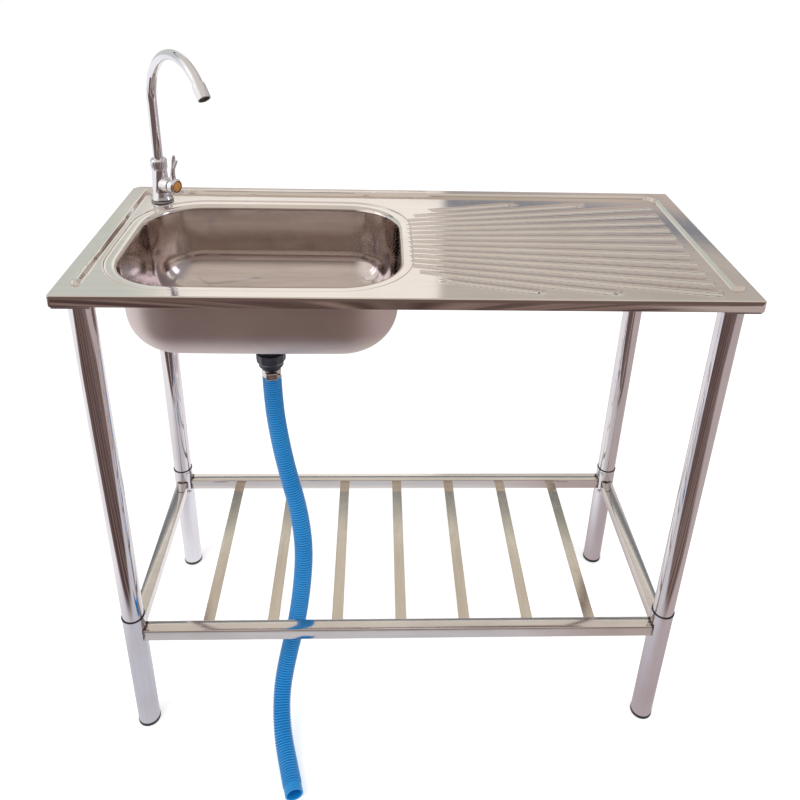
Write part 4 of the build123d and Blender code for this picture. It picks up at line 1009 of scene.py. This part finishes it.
def make_tap_body(material):
    """Column of revolution from the threaded tail to the collar, with the side barrel."""
    foot, tail = LEVEL + 1.0, box_mm("tap_body")[0][2]
    top, thread_top = LEVEL + TAP_HEIGHT, 890.2
    column = np.concatenate([
        [(5.5, tail), (9.4, tail), (10.4, tail + 1), (10.4, thread_top), (10.1, thread_top), (10.1, foot)],
        rounded([(19.4, foot), (19.5, foot + 3.4), (17.0, foot + 9.0), (15.6, LEVEL + 17.5),
                 (12.8, top), (11.2, top), (11.2, top + 12.4), (5.5, top + 12.4)],
                [0.5, 1.6, 14.0, 22.0, 0.8, 0.1, 0.3, 0.1], 8),
    ])
    barrel = rounded([(9.6, 7.0), (BARREL_RADIUS, 7.0), (BARREL_RADIUS, BARREL_REACH), (9.6, BARREL_REACH)],
                     [0.2, 0.2, 1.2, 0.3], 7)
    shape = join(turned(column, 96, TAP), on_barrel(turned(barrel, 96)))
    add_piece("tap_body_casting", shape, material, SINK, ["tap_body"], 50.0)


def make_collar(material):
    """Collar nut: a turned ring with twenty-four shallow flutes between two plain bands."""
    _, radius, bottom, top = round_node("collar_nut")
    section = rounded(
        [(11.3, bottom), (radius - 0.4, bottom), (radius, bottom + 2.6), (radius, top - 3.4),
         (radius - 2.2, top), (8.85, top), (8.85, top - 3.0), (11.3, top - 3.0)],
        [0.2, 0.6, 1.2, 1.4, 1.0, 0.3, 0.2, 0.2], 8)
    extra = pairs(radius, np.linspace(bottom + 3.2, top - 4.0, 9))
    at = int(np.argmax((section[:, 0] > radius - 0.05) & (section[:, 1] > top - 6.0)))
    section = np.insert(section, at, extra, axis=0)

    def flutes(angle, height, r):
        wave = np.clip(np.cos(24 * angle) - 0.1, 0, 1) / 0.9
        inside = smooth((height - bottom - 3.0) / 1.2) * smooth((top - 3.8 - height) / 1.2)
        return -0.4 * wave * inside * (r > radius - 0.6)

    shape = turned(section, 192, TAP, flutes)
    add_piece("collar_ring", shape, material, SINK, ["collar_nut"], 50.0)


def spout_line():
    """Centre line of the gooseneck, a straight rise and one arc, with its end and last direction."""
    out = np.array([cos(SPOUT_TURN), sin(SPOUT_TURN), 0.0])
    base = np.array([*TAP, LEVEL])
    foot = box_mm("spout")[0][2] - LEVEL
    rise = [base + UP * z for z in np.linspace(foot, SPOUT_RISE, 24)[:-1]]
    arc = [base + UP * (SPOUT_RISE + SPOUT_BEND * sin(a)) + out * SPOUT_BEND * (1 - cos(a))
           for a in np.linspace(0, SPOUT_SWEEP, 90)]
    last = out * sin(SPOUT_SWEEP) + UP * cos(SPOUT_SWEEP)
    end = arc[-1] + last * 9.0
    return np.array(rise + arc + [end]), end, last


def make_spout(material):
    """Gooseneck tube: rings carried along the centre line, with the bore."""
    foot, top = 970.7, 973.7
    collar = rounded([(8.4, foot), (10.9, foot), (10.9, top), (8.4, top)], [0.1, 0.4, 0.4, 0.1], 4)
    shape = join(pipe(spout_line()[0], 8.5, 7.3, 72), turned(collar, 72, TAP))
    add_piece("spout_tube", shape, material, SPOUT, ["spout"], 50.0)


def make_aerator(material):
    """Nozzle sleeve on the spout's end: a turned shell laid along the spout's last direction."""
    _, end, last = spout_line()
    side = np.cross(last, UP)
    side /= np.linalg.norm(side)
    shell = rounded(
        [(8.6, 0.0), (10.1, 0.0), (10.1, 3.0), (10.5, 3.2), (10.5, 25.0), (9.0, 25.0), (9.0, 8.1),
         (8.6, 8.1)],
        [0.1, 0.5, 0.1, 0.15, 0.8, 0.4, 0.2, 0.1], 7)
    shape = laid(turned(shell, 72), end - last * 8.0, side, np.cross(last, side), last)
    add_piece("aerator_sleeve", shape, material, SPOUT, ["aerator"], 50.0)


def lever_arm(spots, widths, depths):
    """Oval rings along a curve through the given (reach, height) spots, closed by a rounded tip."""
    spots = np.array(spots, dtype=float)
    t = np.linspace(0, 1, len(spots))
    fine = np.linspace(0, 1, 40)
    reach, level = (np.polynomial.Polynomial.fit(t, spots[:, k], 3)(fine) for k in range(2))
    width, depth = (np.interp(fine, t, v) for v in (widths, depths))
    cap = np.sqrt(np.clip(1 - np.clip((fine - 0.93) / 0.07, 0, 1) ** 2, 0.0004, 1))
    path = np.array([*TAP, BARREL_LEVEL]) + reach[:, None] * BARREL_ALONG + level[:, None] * UP
    return closed(tube(path, width / 2 * cap, 28, up=BARREL_ALONG, flatten=depth / width), 28)


def make_lever(chrome, amber, black):
    """Hub with a dished face and a curved arm that splits into two tips; index disc with its ring."""
    start, end = BARREL_REACH + 0.3, BARREL_REACH + 0.3 + HUB_LENGTH
    hub = rounded(
        [(3.6, start), (HUB_RADIUS - 2.0, start), (HUB_RADIUS, start + 2.4), (HUB_RADIUS, end - 3.4),
         (HUB_RADIUS - 2.6, end), (DISH_RADIUS, end), (DISH_RADIUS, end - 3.0), (2.0, end - 3.0),
         (2.0, end - 7.0), (3.6, end - 7.0)],
        [0.2, 1.4, 2.0, 2.4, 1.0, 0.3, 0.2, 0.1, 0.1, 0.1], 8)
    root = start + HUB_LENGTH * 0.45
    long_arm = lever_arm(
        [(root - 0.5, 9.0), (root - 0.4, 20.0), (root + 1.6, 34.0), (root + 4.6, 48.0), (root + 5.4, 57.2)],
        [13.0, 9.0, 7.6, 8.0, 6.2], [12.5, 8.4, 6.6, 6.0, 4.6])
    short_arm = lever_arm([(root + 1.0, 24.0), (root + 3.6, 34.0), (root + 8.4, 42.0), (root + 11.6, 49.0)],
                          [7.0, 6.4, 5.6, 4.6], [6.4, 5.4, 4.8, 4.2])
    shape = join(on_barrel(turned(hub, 96)), long_arm, short_arm)
    add_piece("lever_casting", shape, chrome, LEVER, ["lever"], 50.0)
    back, face = end - 2.0, end - 0.15
    disc = [(0.0, back), (8.8, back), (8.8, face - 0.5), (8.3, face - 0.12), (7.0, face), (0.0, face + 0.05)]
    add_piece("index_disc", on_barrel(solid_turned(disc, 72)), amber, LEVER,
              ["index_cap"], 50.0)
    band = rounded([(8.85, back), (10.5, back), (10.5, end - 0.05), (8.85, end - 0.3)],
                   [0.2, 0.2, 0.5, 0.3], 5)
    add_piece("index_ring", on_barrel(turned(band, 72)), black, LEVER, sharp_angle=50.0)


# ------------------------------------------------------------------ drain
NUT_SIDES = 12
NUT_RIM, NUT_RIM_HEIGHT = 25.2, 15.0
NUT_FOOT, NUT_BORE, NUT_SOCKET = 16.0, 12.6, 21.1


def make_drain_nut(material):
    """Coupling nut: a tapered turning cut to twelve flats, with its bore."""
    _, _, bottom, top = round_node("drain_nut")
    section = rounded(
        [(NUT_BORE, bottom), (NUT_FOOT, bottom), (NUT_FOOT + 0.6, bottom + 4.0),
         (NUT_RIM, top - NUT_RIM_HEIGHT), (NUT_RIM, top), (NUT_SOCKET, top),
         (NUT_SOCKET, bottom + 6), (NUT_BORE, bottom + 6)],
        [0.2, 0.6, 3.0, 1.2, 1.0, 0.2, 0.2, 0.2], 7)

    def flats(angle, height, radius):
        half_side = pi / NUT_SIDES
        local = np.mod(angle, 2 * half_side) - half_side
        flat = NUT_RIM * cos(half_side) / np.cos(local)
        cut = flat * radius / NUT_RIM + (NUT_RIM - radius) * 0.1
        return np.where(radius > NUT_SOCKET + 0.2, np.minimum(cut, radius) - radius, 0.0)

    shape = turned(section, 240, DRAIN, flats)
    add_piece("coupling_nut", shape, material, SINK, ["drain_nut"], 25.0)


def make_clamp(steel):
    """Band with its screw box, and the screw with its hexagon head."""
    _, _, bottom, top = round_node("hose_clamp")
    top += 1.8
    middle = (top + bottom) / 2
    azimuth = radians(-82.0)
    outward = np.array([cos(azimuth), sin(azimuth), 0.0])
    along = np.array([-sin(azimuth), cos(azimuth), 0.0])
    inner, outer, screw_reach = 15.5, 16.5, 19.25
    band = rounded([(inner, bottom), (outer, bottom), (outer, top), (inner, top)], [0.2, 0.4, 0.4, 0.2], 4)
    half_long, half_tall, half_deep = 9.3, (top - bottom) / 2, 3.6
    section = rounded([(-half_deep, -half_tall), (half_deep, -half_tall), (half_deep, half_tall),
                       (-half_deep, half_tall)], [0.4, 2.6, 2.6, 0.4], 6)
    stations = np.array([-1.0, -0.97, -0.9, 0.9, 0.97, 1.0]) * half_long
    shrink = np.array([0.90, 0.97, 1.0, 1.0, 0.97, 0.90])
    centre = np.array([*DRAIN, middle]) + outward * (16.2 + half_deep)
    grid = (centre + stations[:, None, None] * along
            + (section[None, :, :1] * shrink[:, None, None]) * outward
            + (section[None, :, 1:] * shrink[:, None, None]) * UP)
    box = turned_over(closed(sheet(grid), len(section)))
    add_piece("clamp_band", join(turned(band, 96, DRAIN), box), steel, SINK,
              ["hose_clamp"], 35.0)
    screw = [(0.0, 0.0), (2.2, 0.0), (2.2, 19.0), (4.3, 19.0), (4.3, 23.2), (3.6, 24.0), (0.0, 24.0)]

    def six_sides(angle, height, radius):
        local = np.mod(angle, pi / 3) - pi / 6
        return np.where(radius > 3, np.minimum(3.9 / np.cos(local), radius) - radius, 0.0)

    origin = np.array([*DRAIN, middle]) + outward * screw_reach - along * 9.5
    shaft = turned_over(laid(solid_turned(screw, 72, ripple=six_sides), origin, outward, UP, along))
    add_piece("clamp_worm", shaft, steel, SINK, ["clamp_screw"], 25.0)


# ------------------------------------------------------------------ drain hose
HOSE_ROUTE = [
    (-0.228, -0.032, 0.668),
    (-0.228, -0.032, 0.604),
    (-0.220, -0.042, 0.534),
    (-0.206, -0.057, 0.465),
    (-0.186, -0.077, 0.395),
    (-0.176, -0.099, 0.325),
    (-0.180, -0.119, 0.255),
    (-0.190, -0.137, 0.184),
    (-0.206, -0.158, 0.123),
    (-0.217, -0.196, 0.071),
    (-0.212, -0.247, 0.035),
    (-0.195, -0.303, 0.0165),
    (-0.181, -0.350, 0.0165),
]


def route_line(route, samples_per_run=24):
    """Points read from a smooth NURBS spline with the route as its control points, in metres."""
    curve = bpy.data.curves.new("hose_route", "CURVE")
    curve.dimensions = "3D"
    spline = curve.splines.new("NURBS")
    spline.points.add(len(route) - 1)
    for point, place in zip(spline.points, route):
        point.co = (*place, 1.0)
    spline.order_u = 3
    spline.use_endpoint_u = True
    curve.resolution_u = samples_per_run
    carrier = bpy.data.objects.new("hose_route", curve)
    scene.collection.objects.link(carrier)
    bpy.context.view_layer.update()
    mesh = bpy.data.meshes.new_from_object(carrier.evaluated_get(bpy.context.evaluated_depsgraph_get()))
    line = np.array([vertex.co[:] for vertex in mesh.vertices])
    bpy.data.objects.remove(carrier)
    bpy.data.curves.remove(curve)
    bpy.data.meshes.remove(mesh)
    return line


def evenly(line, count):
    """The same line with its points at equal distances."""
    step = np.r_[0.0, np.cumsum(np.linalg.norm(np.diff(line, axis=0), axis=1))]
    at = np.linspace(0.0, step[-1], count)
    return np.stack([np.interp(at, step, line[:, k]) for k in range(3)], -1), step[-1]


def make_hose(material):
    """Corrugated tube: the radius rises and falls once a pitch along the route, plain at both ends."""
    pitch, crest, valley, cuff, bore = 4.6, 16.45, 14.7, 15.4, 12.6
    cuff_length = 15.0
    segments, steps_per_pitch = 34, 8
    line = route_line(HOSE_ROUTE)
    length = np.linalg.norm(np.diff(line, axis=0), axis=1).sum() / MM
    ribbed = length - 2 * cuff_length
    ribs = int(ribbed / pitch)
    count = int(length / pitch * steps_per_pitch) + 1
    line, metres = evenly(line, count)
    phase = (np.linspace(0.0, length, count) - cuff_length) / ribbed * ribs
    wave = np.clip(0.5 - 0.62 * np.cos(2 * pi * phase), 0.0, 1.0)
    radii = np.where((phase > 0) & (phase < ribs), valley + (crest - valley) * wave, cuff)
    shape = pipe(line / MM, radii, bore, segments)
    piece = add_piece("drain_hose_skin", shape, material, SINK, ["drain_hose"], 60.0)
    # Rib wave per point, 0 in a valley and 1 on a crest, 0.7 on the plain cuffs; the finish uses it to paint
    # shade into the valleys.
    mark(piece, "rib", np.tile(np.repeat(np.where(radii == cuff, 0.7, wave), segments), 2))


# ------------------------------------------------------------------ finishes
def steel(name, light, dark, roughness, along, contrast=0.5, cloud_size=5.0):
    """Brushed or polished steel: two 8-bit tones in bands along one direction, smudges and fine lines.

    The vector along gives the squeeze of the scratch pattern: small where the lines run.
    """
    material, n, shader, place = new_material(name, metallic=1.0)
    lines = place_group(n, BRUSH, Along=n.stretched(place, along), Fine=900.0, Broad=80.0)
    marks = place_group(n, SMUDGE, Place=place, Size=cloud_size)
    share = n.math("ADD", n.product(lines["Bands"], contrast), n.product(marks["Cloud"], 1 - contrast),
                   clamp=True)
    low, high = roughness
    rough = n.math("ADD", low, n.product(lines["Lines"], (high - low) * 0.6))
    rough = n.math("ADD", rough, n.product(marks["Fleck"], (high - low) * 0.4))
    n.fill(shader, Base_Color=n.mix(share, srgb(*light), srgb(*dark)), Roughness=rough)
    bump(n, shader, lines["Lines"], 0.02, 0.25)
    return material, n, shader, place


def moulded(name, light, dark, roughness, grain, bump_mm, **sockets):
    """Moulded plastic or rubber: two close 8-bit tones in clouds, with a fine grain."""
    material, n, shader, place = new_material(name, **sockets)
    marks = place_group(n, SMUDGE, Place=place, Size=grain * 0.15)
    rough = n.math("ADD", roughness - 0.05, n.product(marks["Fleck"], 0.12))
    n.fill(shader, Base_Color=n.mix(marks["Cloud"], srgb(*light), srgb(*dark)), Roughness=rough)
    bump(n, shader, n.noise(place, grain, 3.0), bump_mm, 0.4)
    return material


ALONG_X, ALONG_Y, ALONG_Z, EVEN = (0.06, 1.0, 1.0), (1.0, 0.06, 1.0), (1.0, 1.0, 0.05), (1.0, 1.0, 1.0)
STEELS = {
    "deck": ("deck_steel_satin", (232, 226, 221), (220, 213, 208), (0.04, 0.10), ALONG_X, 0.4),
    "upper": ("upper_tube_bright", (232, 228, 230), (214, 208, 212), (0.03, 0.08), ALONG_Z),
    "lower": ("lower_tube_satin", (228, 226, 232), (214, 210, 216), (0.07, 0.14), ALONG_Z, 0.4),
    "slat": ("slat_steel", (226, 218, 206), (206, 197, 184), (0.08, 0.18), ALONG_Y),
    "fastener": ("fastener_steel_bright", (230, 227, 224), (206, 201, 197), (0.10, 0.22), EVEN, 0.5, 60.0),
    "chrome": ("tap_chrome_plate", (236, 236, 240), (222, 222, 228), (0.03, 0.07), (1.0, 1.0, 0.2), 0.2),
    "brass": ("brass_turned", (214, 180, 110), (180, 146, 84), (0.2, 0.35), (1.0, 1.0, 8.0), 0.5, 50.0),
}
MOULDINGS = {
    "black": ("black_moulding", (40, 40, 48), (24, 24, 30), 0.42, 220.0, 0.03),
    "nut": ("nut_moulding", (62, 64, 76), (40, 42, 52), 0.38, 160.0, 0.04),
    "rubber": ("black_rubber_ring", (36, 36, 38), (24, 24, 26), 0.7, 300.0, 0.03),
    "seal": ("grey_rubber_seal", (168, 164, 162), (146, 142, 140), 0.5, 260.0, 0.03),
    "white": ("white_moulding", (225, 224, 218), (206, 205, 198), 0.45, 200.0, 0.02),
}


def make_finishes():
    """All finishes by name."""
    kit = {key: steel(*values)[0] for key, values in STEELS.items()}
    kit.update({key: moulded(*values) for key, values in MOULDINGS.items()})
    kit["amber"] = moulded("amber_disc", (222, 150, 62), (186, 108, 40), 0.22, 120.0, 0.02, Coat_Weight=0.6)
    kit.update(bowl=bowl_finish(), rail=rail_finish(), hose=hose_finish())
    return kit


def bowl_finish():
    """Drawn steel inside the bowl; the unpolished outside is paler in itself, browner and matt."""
    material, n, shader, place = steel("bowl_steel_drawn", (212, 202, 198), (192, 181, 177), (0.10, 0.18),
                                       (0.08, 1.0, 1.0), 0.6)
    raw = n.attribute("outside")
    marks = place_group(n, SMUDGE, Place=place, Size=9.0)
    polished = shader.inputs["Base Color"].links[0].from_socket
    matt = n.mix(marks["Cloud"], srgb(232, 219, 215), srgb(222, 209, 205))
    smooth_share = shader.inputs["Roughness"].links[0].from_socket
    rougher = n.product(raw, n.math("SUBTRACT", 0.5, smooth_share))
    n.fill(shader, Base_Color=n.mix(raw, polished, matt), Roughness=n.math("ADD", smooth_share, rougher))
    return material


def rail_finish():
    """Satin tube with brown heat marks where it is welded to the legs."""
    material, n, shader, place = steel("rail_tube_satin", (230, 225, 222), (214, 208, 204), (0.06, 0.13),
                                       ALONG_X, 0.4)
    leg = np.abs(middle_mm("lower_leg_front_right")) * MM
    folded = n.vector("ABSOLUTE", place)
    from_leg = n.vector("SUBTRACT", folded, (float(leg[0]), float(leg[1]), 0.0))
    reach = n.vector("LENGTH", n.vector("MULTIPLY", from_leg, (1.0, 1.0, 0.0)))
    ragged = n.math("ADD", reach, n.product(n.noise(place, 160.0), 0.010))
    heat = n.step(ragged, 0.0295, 0.0245)
    clean = shader.inputs["Base Color"].links[0].from_socket
    n.fill(shader, Base_Color=n.mix(heat, clean, srgb(96, 70, 58)))
    return material


def hose_finish():
    """Blue hose plastic with faint clouds: paler on the crests of its ribs and deeper in the valleys, which
    is painted shade in the valleys; it also glows faintly, which is painted light.
    """
    material, n, shader, place = new_material("hose_plastic_blue", Coat_Weight=0.2, Coat_Roughness=0.3)
    marks = place_group(n, SMUDGE, Place=place, Size=10.0)
    crest = n.mix(marks["Cloud"], srgb(26, 150, 220), srgb(36, 160, 228))
    # Painted shade: the colour darkens from the crests into the valleys between the ribs.
    painted_rib_shade = n.mix(n.attribute("rib"), srgb(8, 98, 166), crest)
    rough = n.math("ADD", 0.30, n.product(marks["Fleck"], 0.08))
    # Painted light: the hose glows faintly in its own colour, though it is no lamp.
    n.fill(shader, Base_Color=painted_rib_shade, Roughness=rough, Emission_Color=painted_rib_shade, Emission_Strength=0.08)
    bump(n, shader, n.noise(place, 300.0, 2.0), 0.02, 0.2)
    return material


def dress_frame(kit):
    """Give the CAD nodes that stay in view their finishes."""
    finishes = {
        "corner_plate_": "lower", "slat_": "slat", "plate_screws": "fastener", "leg_screws": "fastener",
        "tap_gasket": "seal", "tap_washer": "fastener", "tap_locknut": "brass", "spout_seal": "rubber",
        "aerator_insert": "black", "valve_cartridge": "white", "valve_spindle": "brass",
        # The aerator insert takes the black moulding as painted shade for the dark inside of the spout's
        # mouth.
        "lever_screw": "fastener", "drain_strainer": "fastener", "drain_gasket": "rubber",
        "drain_body": "black", "drain_screw": "fastener", "drain_tail": "black",
    }
    for name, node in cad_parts.items():
        for start, finish in finishes.items():
            if name.startswith(start):
                for slot in node.material_slots:
                    slot.material = kit[finish]


make_camera()
make_world()
make_floor()
soft_lamp("key_lamp", (-1.6, -1.4, 2.8), 1.8, 34.0)
soft_lamp("fill_lamp", (2.0, -1.2, 2.2), 1.6, 16.0)
scene.view_settings.view_transform = "Standard"

finish = make_finishes()
dress_frame(finish)
make_top(finish["deck"])
make_bowl(finish["bowl"])
for corner in CORNERS:
    make_leg(corner, finish["upper"], finish["lower"], finish["black"])
for rail, along in (("front_rail", "x"), ("back_rail", "x"), ("left_rail", "y"), ("right_rail", "y")):
    make_rail(rail, along, finish["rail"])
make_tap_body(finish["chrome"])
make_collar(finish["chrome"])
make_spout(finish["chrome"])
make_aerator(finish["chrome"])
make_lever(finish["chrome"], finish["amber"], finish["black"])
make_drain_nut(finish["nut"])
make_clamp(finish["fastener"])
make_hose(finish["hose"])
